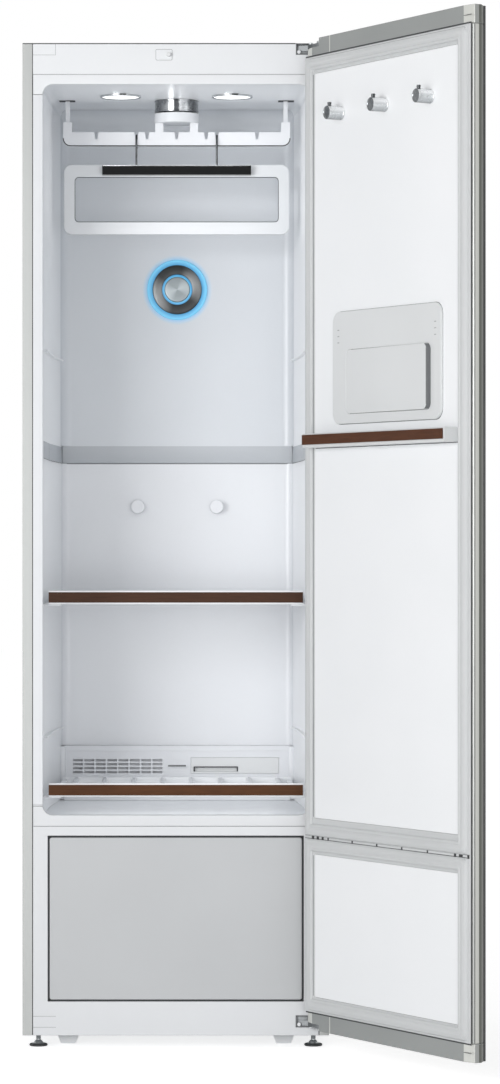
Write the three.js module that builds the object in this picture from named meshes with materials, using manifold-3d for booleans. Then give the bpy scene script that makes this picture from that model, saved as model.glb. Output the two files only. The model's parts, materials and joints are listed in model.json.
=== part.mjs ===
// A clothes care steam cabinet: a tall steel cabinet with a hinged door, a hanging rail that is
// shaken by a crank, a trouser hanger, two sliding shelves, a water drawer and a steam plant below.
// Millimetres, +Z up, +Y to the back. The door stands open, as in use.
import * as THREE from 'three';
import { mergeVertices } from 'three/addons/utils/BufferGeometryUtils.js';
import Module from 'manifold-3d';

const wasm = await Module();
wasm.setup();

// Whole cabinet
const CABINET_WIDTH = 600;
const CABINET_DEPTH = 545;
const CABINET_HEIGHT = 1966;
const HALF_WIDTH = CABINET_WIDTH / 2;
const BASE_HEIGHT = 24; // floor to the underside of the steel body
const SHEET = 2; // painted steel sheet
const REAR_FACE = CABINET_DEPTH - SHEET; // inner face of the rear panel
const SIDE_FLANGE = 20; // front return of each side panel
const GAP = 0.3; // between pieces that touch
const OVERRUN = 5; // how far a cutter runs past the face that it cuts
const ROUND_SIDES = 32;
const SMALL_SIDES = 16;
const ARC_STEPS = 6;

// Front frame and chamber
const FRAME_SIDE = 39.5; // cabinet's side to the opening
const OPENING_HALF = HALF_WIDTH - FRAME_SIDE;
const HEADER_HEIGHT = 61;
const RIM_HEIGHT = 19.4;
const HEADER_SEAM = CABINET_HEIGHT - HEADER_HEIGHT; // lower edge of the header cover
const OPENING_TOP = HEADER_SEAM - RIM_HEIGHT;
const OPENING_BOTTOM = 455;
const OPENING_RADIUS = 20;
const FRAME_DEPTH = 18;
const HEADER_DEPTH = 42;
const RIM_FOOT_HEIGHT = 22;
const DRAWER_FRAME_TOP = OPENING_BOTTOM - RIM_FOOT_HEIGHT;
const LINER_WALL = 3;
const MID_TAPER = 5.5; // how much each side wall leans in before its bend
const REAR_TAPER = 15; // and behind it
const MID_HALF_WIDTH = OPENING_HALF - MID_TAPER;
const REAR_HALF_WIDTH = MID_HALF_WIDTH - REAR_TAPER;
const BACK_SPACE = 45; // duct space behind the chamber
const CHAMBER_DEPTH = CABINET_DEPTH - BACK_SPACE;
const BEND_SPACE = 242; // from the bend of the side walls to the back wall
const MID_DEPTH = CHAMBER_DEPTH - BEND_SPACE;
const DUCT_COVER_DEPTH = 12; // how far the duct cover stands out of the back wall
const DUCT_COVER_HEIGHT = 731.6;
const DUCT_COVER_BOTTOM = OPENING_TOP - DUCT_COVER_HEIGHT;
const DUCT_COVER_BEVEL = 36;
const PEG_RADIUS = 14;
const PEG_LENGTH = 22;
const PEG_DROP = 90; // below the duct cover
const PEG_HEIGHT = DUCT_COVER_BOTTOM - PEG_DROP;
const PEG_SPACING = 164;
const WALL_RIB_HEIGHT = 3;
const RIB_REACH = 20; // how far a carrying rib stands out of the side wall
const RIB_FRONT = 30;
const RIB_BACK_SPACE = 50;
const RIB_BACK = CHAMBER_DEPTH - RIB_BACK_SPACE;
const SPARE_RIB_REACH = 8;
const SPARE_RIB_DROPS = [1277.6, 517.6]; // below the opening's top
const SPARE_RIB_LEVELS = SPARE_RIB_DROPS.map((drop) => OPENING_TOP - drop);

// Steam nozzle in the duct cover
const NOZZLE_RADIUS = 62.5;
const NOZZLE_DROP = 370.6; // below the opening's top
const NOZZLE_HEIGHT = OPENING_TOP - NOZZLE_DROP;
const NOZZLE_PROUD = 5;
const NOZZLE_CAP_RADIUS = 49.5;
const NOZZLE_CAP_PROUD = 12;
const NOZZLE_HUB_RADIUS = 24.5;
const NOZZLE_HUB_PROUD = 15;

// Ceiling lamps
const LAMP_RADIUS = 41;
const LAMP_THICKNESS = 4;
const LAMP_SPACING = 224;
const LAMP_DEPTH_PLACE = 200;

// Shaking drive and hanging rail
const RAIL_BACK_SPACE = 210; // from the middle of the rail to the back wall
const RAIL_DEPTH_PLACE = CHAMBER_DEPTH - RAIL_BACK_SPACE;
const RAIL_END_SPACE = 10;
const RAIL_HALF_LENGTH = REAR_HALF_WIDTH - RAIL_END_SPACE;
const RAIL_THICKNESS = 24;
const RAIL_DROP = 64.6; // below the opening's top
const RAIL_HEIGHT = 27.5;
const RAIL_TOP = OPENING_TOP - RAIL_DROP;
const RAIL_BOTTOM = RAIL_TOP - RAIL_HEIGHT;
const RAIL_CORNER = 15;
const NOTCH_DEPTH = 14;
const NOTCH_TOP_WIDTH = 9;
const NOTCH_BOTTOM_WIDTH = 5;
const NOTCH_PITCH = 81.5;
const YOKE_NOTCH_PLACE = 60;
const POST_WIDTH = 8.7;
const POST_DEPTH = 10;
const POST_BLOCK_WIDTH = 18;
const POST_PLACE = RAIL_HALF_LENGTH - POST_BLOCK_WIDTH / 2;
const POST_BLOCK_HEIGHT = 20;
const SHAKE_TRAVEL = 7.8; // to each side
const SLOT_CLEARANCE = 1.5;
const SLIDER_LENGTH = 34;
const SLIDER_WIDTH = 26;
const SLIDER_HEIGHT = 7;
const COLLAR_RADIUS = 45;
const COLLAR_BORE = 35;
const COLLAR_HEIGHT = 24;
const YOKE_CLEARANCE = 2.8; // under the collar
const YOKE_TOP = OPENING_TOP - GAP - COLLAR_HEIGHT - YOKE_CLEARANCE;
const YOKE_PLATE = 19;
const YOKE_LEG = 16.5;
const YOKE_LEG_INNER = 27;
const CRANK_RADIUS = 30;
const CRANK_PLATE = 8;
const CRANK_THROW = 11;
const CRANK_PIN_RADIUS = 4;
const CRANK_PIN_REACH = 8;
const CRANK_PIN_PLAY = 0.6;
const CRANK_SHAFT_RADIUS = 5;
const SHAFT_REACH = 17; // into the motor
const SHAFT_PLAY = 0.4;
const MOTOR_RADIUS = 32;
const MOTOR_HEIGHT = 44;

// Trouser hanger
const HOOK_WIRE_RADIUS = 2;
const HOOK_BEND = 17.3; // bend radius of the hook's top
const HOOK_TAIL = 10;
const HOOK_SWING_DROP = 22.5; // hook's centre below the rail's top
const HOOK_SWING_HEIGHT = RAIL_TOP - HOOK_SWING_DROP;
const HOOK_ARC_STEPS = 10;
const HOOK_WIRE_SIDES = 10;
const CLAMP_HALF_LENGTH = 150.7;
const CLAMP_DROP = 68; // below the rail's top
const CLAMP_TOP = RAIL_TOP - CLAMP_DROP;
const CLAMP_HEIGHT = 19;
const CLAMP_THICKNESS = 19;
const CLAMP_LEAD = 5; // how far the bar reaches ahead of the hooks' wire
const BOARD_END_SPACE = 1.5; // short of the rail's end
const BOARD_HALF_WIDTH = RAIL_HALF_LENGTH - BOARD_END_SPACE;
const BOARD_RISE = 3; // above the clamp bar
const BOARD_TOP = CLAMP_TOP + BOARD_RISE;
const BOARD_HEIGHT = 141.5;
const BOARD_THICKNESS = 14;
const BOARD_SIDE = 21.5;
const BOARD_BAR = 25;
const BOARD_CORNER = 16;
const BOARD_WINDOW_CORNER = 8;

// Sliding shelf and rod rack
const TRIM_END_SPACE = 11;
const TRIM_HALF_WIDTH = OPENING_HALF - TRIM_END_SPACE;
const TRIM_THICKNESS = 4;
const TRIM_HEIGHT = 20.5;
const SHELF_FRONT = 17;
const SHELF_SIDE_SPACE = 4;
const SHELF_HALF_WIDTH = REAR_HALF_WIDTH - SHELF_SIDE_SPACE;
const SHELF_RISE = 413; // underside of the shelf above the chamber's floor
const SHELF_LEVEL = OPENING_BOTTOM + SHELF_RISE;
const SHELF_THICKNESS = 26;
const SHELF_BOARD = 18;
const SHELF_BACK_SPACE = 35;
const SHELF_BACK = CHAMBER_DEPTH - SHELF_BACK_SPACE;
const SHELF_EDGE = 10; // depth of the shelf's and the rack's front bars
const SHELF_SLOTS = 7;
const SHELF_SLOT_WIDTH = 12;
const SHELF_SLOT_MARGIN = 40;
const RACK_RISE = 35;
const RACK_LEVEL = OPENING_BOTTOM + RACK_RISE;
const RACK_BACK_SPACE = 68;
const RACK_BACK = CHAMBER_DEPTH - RACK_BACK_SPACE;
const RACK_BAR = 10;
const ROD_RADIUS = 5;
const ROD_COUNT = 8; // from the front edge to the rear bar
const ROD_PITCH = (2 * SHELF_HALF_WIDTH) / ROD_COUNT;

// Air module at the foot of the back wall
const MODULE_SIDE_SPACE = 6;
const MODULE_HALF_WIDTH = REAR_HALF_WIDTH - MODULE_SIDE_SPACE;
const MODULE_HEIGHT = 112;
const MODULE_TOP = OPENING_BOTTOM + MODULE_HEIGHT;
const MODULE_FOOT_DEPTH = 46;
const MODULE_HEAD_DEPTH = 28;
const MODULE_INSET = 2;
const MODULE_INSET_DROP = 10; // below the module's top
const MODULE_INSET_HEIGHT = 57;
const MODULE_INSET_TOP = MODULE_TOP - MODULE_INSET_DROP;
const MODULE_INSET_BOTTOM = MODULE_INSET_TOP - MODULE_INSET_HEIGHT;
const MODULE_BORDER = 6;
const MODULE_INSET_HALF_WIDTH = MODULE_HALF_WIDTH - MODULE_BORDER;
const GRILLE_MARGIN = 10; // inside the inset's end
const GRILLE_WIDTH = 189;
const GRILLE_LEFT = GRILLE_MARGIN - MODULE_INSET_HALF_WIDTH;
const GRILLE_RIGHT = GRILLE_LEFT + GRILLE_WIDTH;
const GRILLE_RISE = 9;
const GRILLE_HEIGHT = 32.6;
const GRILLE_BOTTOM = MODULE_INSET_BOTTOM + GRILLE_RISE;
const GRILLE_TOP = GRILLE_BOTTOM + GRILLE_HEIGHT;
const GRILLE_ROWS = 4;
const GRILLE_COLUMNS = 8;
const GRILLE_BAR = 3.5;
const GRILLE_DEPTH = 16;
const FILTER_MARGIN = 17; // inside the inset's end
const FILTER_WIDTH = 182.5;
const FILTER_RIGHT = MODULE_INSET_HALF_WIDTH - FILTER_MARGIN;
const FILTER_LEFT = FILTER_RIGHT - FILTER_WIDTH;
const FILTER_RISE = 10.5;
const FILTER_HEIGHT = 32.5;
const FILTER_BOTTOM = MODULE_INSET_BOTTOM + FILTER_RISE;
const FILTER_TOP = FILTER_BOTTOM + FILTER_HEIGHT;
const FILTER_DEPTH = 24;
const FILTER_GRIP_MARGIN = 5.5;
const FILTER_GRIP_LEFT = FILTER_LEFT + FILTER_GRIP_MARGIN;
const FILTER_GRIP_WIDTH = 92;
const FILTER_GRIP_HEIGHT = 9;
const FILTER_GRIP_DEPTH = 7;

// Door, measured with the door shut
const DOOR_ANGLE = 119; // degrees open at rest
const PIVOT_INSET = 17;
const PIVOT_X = HALF_WIDTH - PIVOT_INSET;
const PIVOT_Y = -38;
const DOOR_SIDE_SPACE = 2;
const DOOR_HALF_WIDTH = HALF_WIDTH - DOOR_SIDE_SPACE;
const DOOR_BOTTOM = 42;
const DOOR_OUTER = 50; // front plane of the cabinet to the door's outer face
const DOOR_INNER = 12; // front plane of the cabinet to the door's inner skin
const GLASS_THICKNESS = 4;
const DOOR_CHAMFER = 14;
const INNER_CHAMFER = 5;
const CAP_HEIGHT = 35;
const CAP_PROUD = 1.5; // the caps stand this much past the door's inner skin
const CAP_FACET = 27;
const NOTCH_FROM_PIVOT = 37; // hinge notch, from the pivot towards the door's middle
const TOP_NOTCH_HEIGHT = 16.5;
const BOTTOM_NOTCH_HEIGHT = 12.5;
const PANEL_MARGIN = 40;
const PANEL_HALF_WIDTH = DOOR_HALF_WIDTH - PANEL_MARGIN; // white inner panels
const PANEL_THICKNESS = 2;
const PANEL_DROP = 69;
const UPPER_PANEL_TOP = CABINET_HEIGHT - PANEL_DROP;
const PANEL_SEAM = 71; // between the upper and lower panels
const LOWER_PANEL_TOP = OPENING_BOTTOM - PANEL_SEAM;
const PANEL_RISE = 66;
const LOWER_PANEL_BOTTOM = DOOR_BOTTOM + PANEL_RISE;
const GASKET_FLANGE = 3.2;
const GASKET_MARGIN = 3;
const GASKET_HALF_WIDTH = DOOR_HALF_WIDTH - GASKET_MARGIN;
const BEAD_INSET = 16;
const BEAD_HALF_WIDTH = DOOR_HALF_WIDTH - BEAD_INSET;
const BEAD_WIDTH = 20;
const BEAD_CLEARANCE = 1; // from the bead's face to the cabinet when shut
const BEAD_SEAM_DROP = 38;
const BEAD_SEAM = OPENING_BOTTOM - BEAD_SEAM_DROP; // between the two gasket loops
const BEAD_MARGIN = 6;
const HOOK_COUNT = 3;
const HOOK_PITCH = 160;
const HOOK_DROP = 155;
const HOOK_LEVEL = CABINET_HEIGHT - HOOK_DROP;
const HOOK_RADIUS = 13;
const HOOK_LENGTH = 33;
const HOOK_PEG_RADIUS = 4;
const HOOK_PEG_HEIGHT = 7;
const HOOK_PEG_INSET = 7;
const AROMA_CENTRE = -10;
const AROMA_HALF_WIDTH = 193;
const AROMA_BOTTOM = 1215;
const AROMA_HEIGHT = 215;
const AROMA_PROUD = 5;
const AROMA_CORNER = 22;
const AROMA_POCKET = 3;
const LID_MARGIN = 36; // inside the case's free end
const LID_WIDTH = 301;
const LID_LEFT = AROMA_CENTRE - AROMA_HALF_WIDTH + LID_MARGIN;
const LID_RIGHT = LID_LEFT + LID_WIDTH;
const LID_RISE = 19;
const LID_BOTTOM = AROMA_BOTTOM + LID_RISE;
const LID_HEIGHT = 122;
const LID_CORNER = 12;
const LID_THIN = 2.5;
const LID_THICK = 12;
const DOOR_SHELF_MARGIN = 4;
const DOOR_SHELF_HALF_WIDTH = PANEL_HALF_WIDTH - DOOR_SHELF_MARGIN;
const DOOR_SHELF_DEPTH = 34;
const DOOR_SHELF_BOTTOM = 1171.5;
const DOOR_SHELF_HEIGHT = 27;
const DOOR_SHELF_FLOOR = 4;
const DOOR_SHELF_TRIM_RISE = 5.5;
const DOOR_SHELF_TRIM_BOTTOM = DOOR_SHELF_BOTTOM + DOOR_SHELF_TRIM_RISE;
const DOOR_SHELF_TRIM_HEIGHT = 19;
const DOOR_SHELF_TRIM_THICKNESS = 3;
const DOOR_SHELF_END = 3;

// Hinge brackets
const RECESS_INSET = 23;
const RECESS_WIDTH = 42;
const RECESS_RIGHT = HALF_WIDTH - RECESS_INSET;
const RECESS_LEFT = RECESS_RIGHT - RECESS_WIDTH;
const RECESS_HEIGHT = 23;
const RECESS_PLAY = 2; // below the lower bracket's level
const LOWER_RECESS_BOTTOM = DOOR_BOTTOM - RECESS_PLAY;
const RECESS_DEPTH = 38;
const BRACKET_PLAY = 5; // beside the recess
const BRACKET_INNER = RECESS_LEFT + BRACKET_PLAY;
const BRACKET_EYE = 9;
const BRACKET_THICKNESS = 11;
const HINGE_PIN_RADIUS = 3.5;
const HINGE_PIN_PLAY = 0.4;
const HINGE_PIN_REACH = 18;
const HINGE_WASHER = 0.8;

// Water drawer
const DRAWER_MARGIN = 53;
const DRAWER_HALF_WIDTH = HALF_WIDTH - DRAWER_MARGIN;
const DRAWER_BOTTOM = 94;
const DRAWER_DROP = 21.6;
const DRAWER_TOP = DRAWER_FRAME_TOP - DRAWER_DROP;
const DRAWER_REVEAL = 3.5;
const DRAWER_FRONT = 20;
const DRAWER_CORNER = 5;
const BIN_MARGIN = 19;
const BIN_HALF_WIDTH = DRAWER_HALF_WIDTH - BIN_MARGIN;
const BIN_DEPTH = 205;
const BIN_HEIGHT = 190;
const BIN_RISE = 10;
const BIN_BOTTOM = DRAWER_BOTTOM + BIN_RISE;
const BIN_WALL = 3;
const RUNNER_WIDTH = 14;
const RUNNER_INSET = 28;
const RUNNER_PLACE = BIN_HALF_WIDTH - RUNNER_INSET;
const TANK_WIDTH = 200;
const TANK_DEPTH = 150;
const TANK_HEIGHT = 160;
const TANK_CORNER = 12;
const TANK_CAP_RADIUS = 26;
const TANK_CAP_HEIGHT = 16;
const TANK_SPACING = 210;

// Steam plant under the chamber
const BASE_THICKNESS = 4;
const COMPRESSOR_RADIUS = 75;
const COMPRESSOR_HEIGHT = 205;
const COMPRESSOR_OFFSET = -180;
const COMPRESSOR_BACK = 63; // from the rear panel's inner face
const COMPRESSOR_PLACE = [COMPRESSOR_OFFSET, REAR_FACE - COMPRESSOR_RADIUS - COMPRESSOR_BACK];
const BLOWER_RADIUS = 78;
const BLOWER_HEIGHT = 90;
const BLOWER_THROAT = 40; // radius of the intake ring
const BLOWER_LIP = 8;
const BLOWER_OFFSET = -165;
const BLOWER_BACK = 55;
const BLOWER_PLACE = [BLOWER_OFFSET, REAR_FACE - BLOWER_RADIUS - BLOWER_BACK];
const EXCHANGER_LEFT = -80;
const EXCHANGER_WIDTH = 270;
const EXCHANGER_DEPTH = 65;
const EXCHANGER_BACK = 193;
const EXCHANGER_HEIGHT = 290;
const EXCHANGER_FINS = 18;
const EXCHANGER_FIN_DEPTH = 12;
const EXCHANGER_FIN_GAP = 7;
const STEAMER_RADIUS = 48;
const STEAMER_LENGTH = 190;
const STEAMER_OFFSET = 70;
const STEAMER_BACK = 55;
const STEAMER_PLACE = [STEAMER_OFFSET, REAR_FACE - STEAMER_RADIUS - STEAMER_BACK];
const STEAMER_SADDLE = 14;
const CONTROL_SIDE_SPACE = 15;
const CONTROL_WIDTH = 80;
const CONTROL_DEPTH = 200;
const CONTROL_BACK = 53;
const CONTROL_HEIGHT = 210;
const INLET_INSET = 60; // from the cabinet's side
const INLET_LEVEL = 330;
const INLET_PLACE = [HALF_WIDTH - INLET_INSET, INLET_LEVEL];
const INLET_WIDTH = 48;
const INLET_HEIGHT = 27;
const INLET_DEPTH = 24;
const INLET_WALL = 3;

// Feet and runners under the cabinet
const FOOT_INSET = 30; // from the cabinet's side
const FOOT_SPACING = CABINET_WIDTH - 2 * FOOT_INSET;
const FOOT_PLACE = 34; // from the front plane
const FOOT_RADIUS = 18;
const FOOT_DISC = 7;
const FOOT_CONE = 13;
const FOOT_STEM_RADIUS = 5;
const FOOT_STEM_TOP = 38;
const FOOT_STEM_PLAY = 0.5;
const SKID_INSET = 64;
const SKID_WIDTH = 47;
const SKID_OUTER = HALF_WIDTH - SKID_INSET;
const SKID_INNER = SKID_OUTER - SKID_WIDTH;
const SKID_TAPER = 9;
const SKID_FRONT = 68;
const SKID_BACK_SPACE = 25;
const SKID_BACK = CABINET_DEPTH - SKID_BACK_SPACE;

// Door switch
const SWITCH_CENTRE = -23;
const SWITCH_WIDTH = 31;
const SWITCH_HEIGHT = 20.5;
const SWITCH_DROP = 23;
const SWITCH_LEVEL = CABINET_HEIGHT - SWITCH_DROP;
const SWITCH_RADIUS = 4;
const SWITCH_PROUD = 10;
const SWITCH_STEM = 16; // behind the header's face
const SWITCH_PLAY = 0.4;
const SWITCH_OFFSET = 9;

const FRAME_HALF = HALF_WIDTH - SIDE_FLANGE - GAP;
const FLOOR_UNDERSIDE = OPENING_BOTTOM - LINER_WALL;
const CEILING_TOP = OPENING_TOP + LINER_WALL;
const PLANT_LEVEL = BASE_HEIGHT + BASE_THICKNESS + GAP;
const PANEL_FACE = -DOOR_INNER + GAP + PANEL_THICKNESS; // inner face of the door's white panels
const GLASS_BACK = -DOOR_OUTER + GLASS_THICKNESS;

const FINISHES = {
  silver: { color: '#c4c6c5', roughness: 0.42, metalness: 0.45 },
  white: { color: '#eceef1', roughness: 0.38, metalness: 0 },
  chamber: { color: '#d3d6da', roughness: 0.4, metalness: 0 },
  grey: { color: '#c9cacc', roughness: 0.5, metalness: 0 },
  cap: { color: '#8f9494', roughness: 0.5, metalness: 0 },
  rubber: { color: '#c9cbcc', roughness: 0.7, metalness: 0 },
  chrome: { color: '#cfd3d4', roughness: 0.12, metalness: 1 },
  steel: { color: '#8d9091', roughness: 0.35, metalness: 1 },
  zinc: { color: '#a9adaf', roughness: 0.5, metalness: 0.8 },
  black: { color: '#26282a', roughness: 0.45, metalness: 0 },
  darkGlass: { color: '#2b2c2e', roughness: 0.08, metalness: 0.1 },
  walnut: { color: '#5a3a2a', roughness: 0.55, metalness: 0 },
  lamp: { color: '#fbfbf7', roughness: 0.3, metalness: 0 },
  tank: { color: '#b9cbd6', roughness: 0.2, metalness: 0 },
  copper: { color: '#b87850', roughness: 0.35, metalness: 1 },
};

// Shapes. A range is [low, high], and a place is the pair of coordinates across the axis.
const around = (centre, size) => [centre - size / 2, centre + size / 2];
const upFrom = (low, size) => [low, low + size];
const downFrom = (high, size) => [high - size, high];
const both = (half) => [-half, half];
const beyond = ([low, high], extra) => [low - extra, high + extra];
const mirrored = ([low, high], side) => (side > 0 ? [low, high] : [-high, -low]);

function block(xRange, yRange, zRange) {
  const [x, y, z] = [xRange, yRange, zRange].map(([low, high]) => (low + high) / 2);
  const sizes = [xRange, yRange, zRange].map(([low, high]) => high - low);
  return new THREE.BoxGeometry(...sizes).translate(x, y, z);
}

// Turns a geometry made along Y so that it runs along the named axis, then moves it to its place.
function along(axis, geometry, middle, [a, b]) {
  if (axis === 'x') {
    return geometry.rotateZ(-Math.PI / 2).translate(middle, a, b);
  }
  if (axis === 'y') {
    return geometry.translate(a, middle, b);
  }
  return geometry.rotateX(Math.PI / 2).translate(a, b, middle);
}

function rod(axis, radius, [low, high], place, sides = SMALL_SIDES) {
  const geometry = new THREE.CylinderGeometry(radius, radius, high - low, sides);
  return along(axis, geometry, (low + high) / 2, place);
}

function turned(axis, profile, start, place, sides = ROUND_SIDES) {
  const points = profile.map(([radius, height]) => new THREE.Vector2(radius, height));
  return along(axis, new THREE.LatheGeometry(points, sides), start, place);
}

function outline(points) {
  return new THREE.Shape(points.map(([a, b]) => new THREE.Vector2(a, b)));
}

function roundedOutline([left, right], [bottom, top], radius) {
  const shape = new THREE.Shape();
  shape.moveTo(left + radius, bottom);
  shape.absarc(right - radius, bottom + radius, radius, -Math.PI / 2, 0, false);
  shape.absarc(right - radius, top - radius, radius, 0, Math.PI / 2, false);
  shape.absarc(left + radius, top - radius, radius, Math.PI / 2, Math.PI, false);
  shape.absarc(left + radius, bottom + radius, radius, Math.PI, Math.PI * 1.5, false);
  return shape;
}

// An outline drawn across the axis is drawn in (y, z) for x, in (x, z) for y and in (x, y) for z.
function drawn(axis, shape, [low, high]) {
  const options = { depth: high - low, bevelEnabled: false, curveSegments: ARC_STEPS };
  const geometry = new THREE.ExtrudeGeometry(shape, options);
  if (axis === 'z') {
    return geometry.translate(0, 0, low);
  }
  if (axis === 'y') {
    return geometry.rotateX(Math.PI / 2).translate(0, high, 0);
  }
  const turn = new THREE.Matrix4().makeBasis(
    new THREE.Vector3(0, 1, 0),
    new THREE.Vector3(0, 0, 1),
    new THREE.Vector3(1, 0, 0),
  );
  return geometry.applyMatrix4(turn).translate(low, 0, 0);
}

function solid(geometry) {
  const bare = geometry.clone();
  bare.deleteAttribute('normal');
  bare.deleteAttribute('uv');
  const merged = mergeVertices(bare);
  const vertProperties = new Float32Array(merged.attributes.position.array);
  const triVerts = new Uint32Array(merged.index.array);
  return new wasm.Manifold(new wasm.Mesh({ numProp: 3, vertProperties, triVerts }));
}

function surface(body) {
  const mesh = body.getMesh();
  const geometry = new THREE.BufferGeometry();
  geometry.setAttribute('position', new THREE.BufferAttribute(mesh.vertProperties, 3));
  geometry.setIndex(new THREE.BufferAttribute(mesh.triVerts, 1));
  geometry.computeVertexNormals();
  return geometry;
}

// One body: the base with the added shapes joined on, then the cutters taken away.
function shaped(base, added, cutters = []) {
  let body = solid(base);
  for (const geometry of added) {
    body = body.add(solid(geometry));
  }
  for (const geometry of cutters) {
    body = body.subtract(solid(geometry));
  }
  return surface(body);
}

function piece(group, name, finish, geometry) {
  const mesh = new THREE.Mesh(geometry, new THREE.MeshStandardMaterial(FINISHES[finish]));
  mesh.name = name;
  group.add(mesh);
}

// Steel body
function sidePanel(side) {
  const outer = side * HALF_WIDTH;
  const points = [
    [outer, 0],
    [outer - side * SIDE_FLANGE, 0],
    [outer - side * SIDE_FLANGE, SHEET],
    [outer - side * SHEET, SHEET],
    [outer - side * SHEET, REAR_FACE - GAP],
    [outer, REAR_FACE - GAP],
  ];
  return drawn('z', outline(points), [BASE_HEIGHT, CABINET_HEIGHT]);
}

function topPanel() {
  const depths = [HEADER_DEPTH + GAP, REAR_FACE - GAP];
  return block(both(HALF_WIDTH - SHEET - GAP), depths, downFrom(CABINET_HEIGHT, SHEET));
}

// The rear panel carries the mains inlet: a box behind a plain socket mouth.
function rearPanel() {
  const sheet = block(both(HALF_WIDTH), [REAR_FACE, CABINET_DEPTH], [BASE_HEIGHT, CABINET_HEIGHT]);
  const [x, z] = INLET_PLACE;
  const mouth = [around(x, INLET_WIDTH - 2 * INLET_WALL), around(z, INLET_HEIGHT - 2 * INLET_WALL)];
  const depths = [CABINET_DEPTH - INLET_DEPTH, CABINET_DEPTH - SHEET / 2];
  const housing = block(around(x, INLET_WIDTH), depths, around(z, INLET_HEIGHT));
  const hollow = [CABINET_DEPTH - INLET_DEPTH + INLET_WALL, CABINET_DEPTH + OVERRUN];
  return shaped(sheet, [housing], [block(mouth[0], hollow, mouth[1])]);
}

// The base pan holds the threaded holes for the feet and the two runners of the drawer.
function basePan() {
  const depths = [FRAME_DEPTH + GAP, REAR_FACE - GAP];
  const tray = block(both(HALF_WIDTH - SHEET - GAP), depths, upFrom(BASE_HEIGHT, BASE_THICKNESS));
  const reach = [DRAWER_FRONT + GAP, DRAWER_FRONT + BIN_DEPTH];
  const runners = [-RUNNER_PLACE, RUNNER_PLACE].map((x) =>
    block(around(x, RUNNER_WIDTH), reach, [BASE_HEIGHT, BIN_BOTTOM - GAP]),
  );
  const bore = beyond(upFrom(BASE_HEIGHT, BASE_THICKNESS), OVERRUN);
  const holes = [-FOOT_SPACING / 2, FOOT_SPACING / 2].map((x) =>
    rod('z', FOOT_STEM_RADIUS + FOOT_STEM_PLAY, bore, [x, FOOT_PLACE]),
  );
  return shaped(tray, runners, holes);
}

function skid(side) {
  const points = [
    [side * (SKID_INNER + SKID_TAPER), 0],
    [side * (SKID_OUTER - SKID_TAPER), 0],
    [side * SKID_OUTER, BASE_HEIGHT - GAP],
    [side * SKID_INNER, BASE_HEIGHT - GAP],
  ];
  return drawn('y', outline(points), [SKID_FRONT, SKID_BACK]);
}

function footProfile() {
  return [
    [0, 0],
    [FOOT_RADIUS, 0],
    [FOOT_RADIUS, FOOT_DISC / 2],
    [FOOT_RADIUS - FOOT_DISC / 2, FOOT_DISC],
    [FOOT_STEM_RADIUS * 2, FOOT_DISC],
    [FOOT_STEM_RADIUS, FOOT_CONE],
    [FOOT_STEM_RADIUS, FOOT_STEM_TOP],
    [0, FOOT_STEM_TOP],
  ];
}

// Front frame
function hingeRecess(bottom) {
  return block([RECESS_LEFT, RECESS_RIGHT], beyond([0, FRAME_DEPTH], OVERRUN), upFrom(bottom, RECESS_HEIGHT));
}

function headerCover() {
  const heights = [HEADER_SEAM, CABINET_HEIGHT];
  const cover = block(both(FRAME_HALF), [0, HEADER_DEPTH], heights);
  const inside = block(
    both(FRAME_HALF - LINER_WALL),
    [LINER_WALL, HEADER_DEPTH + OVERRUN],
    beyond(heights, -LINER_WALL),
  );
  const recess = block(
    [RECESS_LEFT, RECESS_RIGHT],
    [-OVERRUN, HEADER_DEPTH + OVERRUN],
    [CABINET_HEIGHT - RECESS_HEIGHT, CABINET_HEIGHT + OVERRUN],
  );
  const plate = block(
    around(SWITCH_CENTRE, SWITCH_WIDTH),
    [-OVERRUN, LINER_WALL / 3],
    around(SWITCH_LEVEL, SWITCH_HEIGHT),
  );
  const bore = rod('y', SWITCH_RADIUS + SWITCH_PLAY, beyond([0, LINER_WALL], OVERRUN), switchPlace());
  return shaped(cover, [], [inside, recess, plate, bore]);
}

function switchPlace() {
  return [SWITCH_CENTRE + SWITCH_OFFSET, SWITCH_LEVEL];
}

// One end of the opening's rim, with rounded inner corners: side is 1 at the top, -1 at the bottom.
function rim(side, edge, seam) {
  const start = edge - side * OPENING_RADIUS;
  const inset = OPENING_HALF - OPENING_RADIUS;
  const quarter = (side * Math.PI) / 2;
  const shape = new THREE.Shape();
  shape.moveTo(-FRAME_HALF, start);
  shape.lineTo(-FRAME_HALF, seam);
  shape.lineTo(FRAME_HALF, seam);
  shape.lineTo(FRAME_HALF, start);
  shape.absarc(inset, start, OPENING_RADIUS, 0, quarter, side < 0);
  shape.absarc(-inset, start, OPENING_RADIUS, quarter, 2 * quarter, side < 0);
  return drawn('y', shape, [0, FRAME_DEPTH]);
}

function lowerFrame() {
  const frame = block(both(FRAME_HALF), [0, FRAME_DEPTH], [BASE_HEIGHT, DRAWER_FRAME_TOP]);
  const mouth = block(
    both(DRAWER_HALF_WIDTH + DRAWER_REVEAL),
    beyond([0, FRAME_DEPTH], OVERRUN),
    beyond([DRAWER_BOTTOM, DRAWER_TOP], DRAWER_REVEAL),
  );
  return shaped(frame, [], [mouth, hingeRecess(LOWER_RECESS_BOTTOM)]);
}

// Chamber
function wallHalfWidth(depth) {
  const near = depth < MID_DEPTH;
  const [start, end] = near ? [0, MID_DEPTH] : [MID_DEPTH, CHAMBER_DEPTH];
  const [wide, narrow] = near ? [OPENING_HALF, MID_HALF_WIDTH] : [MID_HALF_WIDTH, REAR_HALF_WIDTH];
  return wide + ((narrow - wide) * (depth - start)) / (end - start);
}

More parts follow.
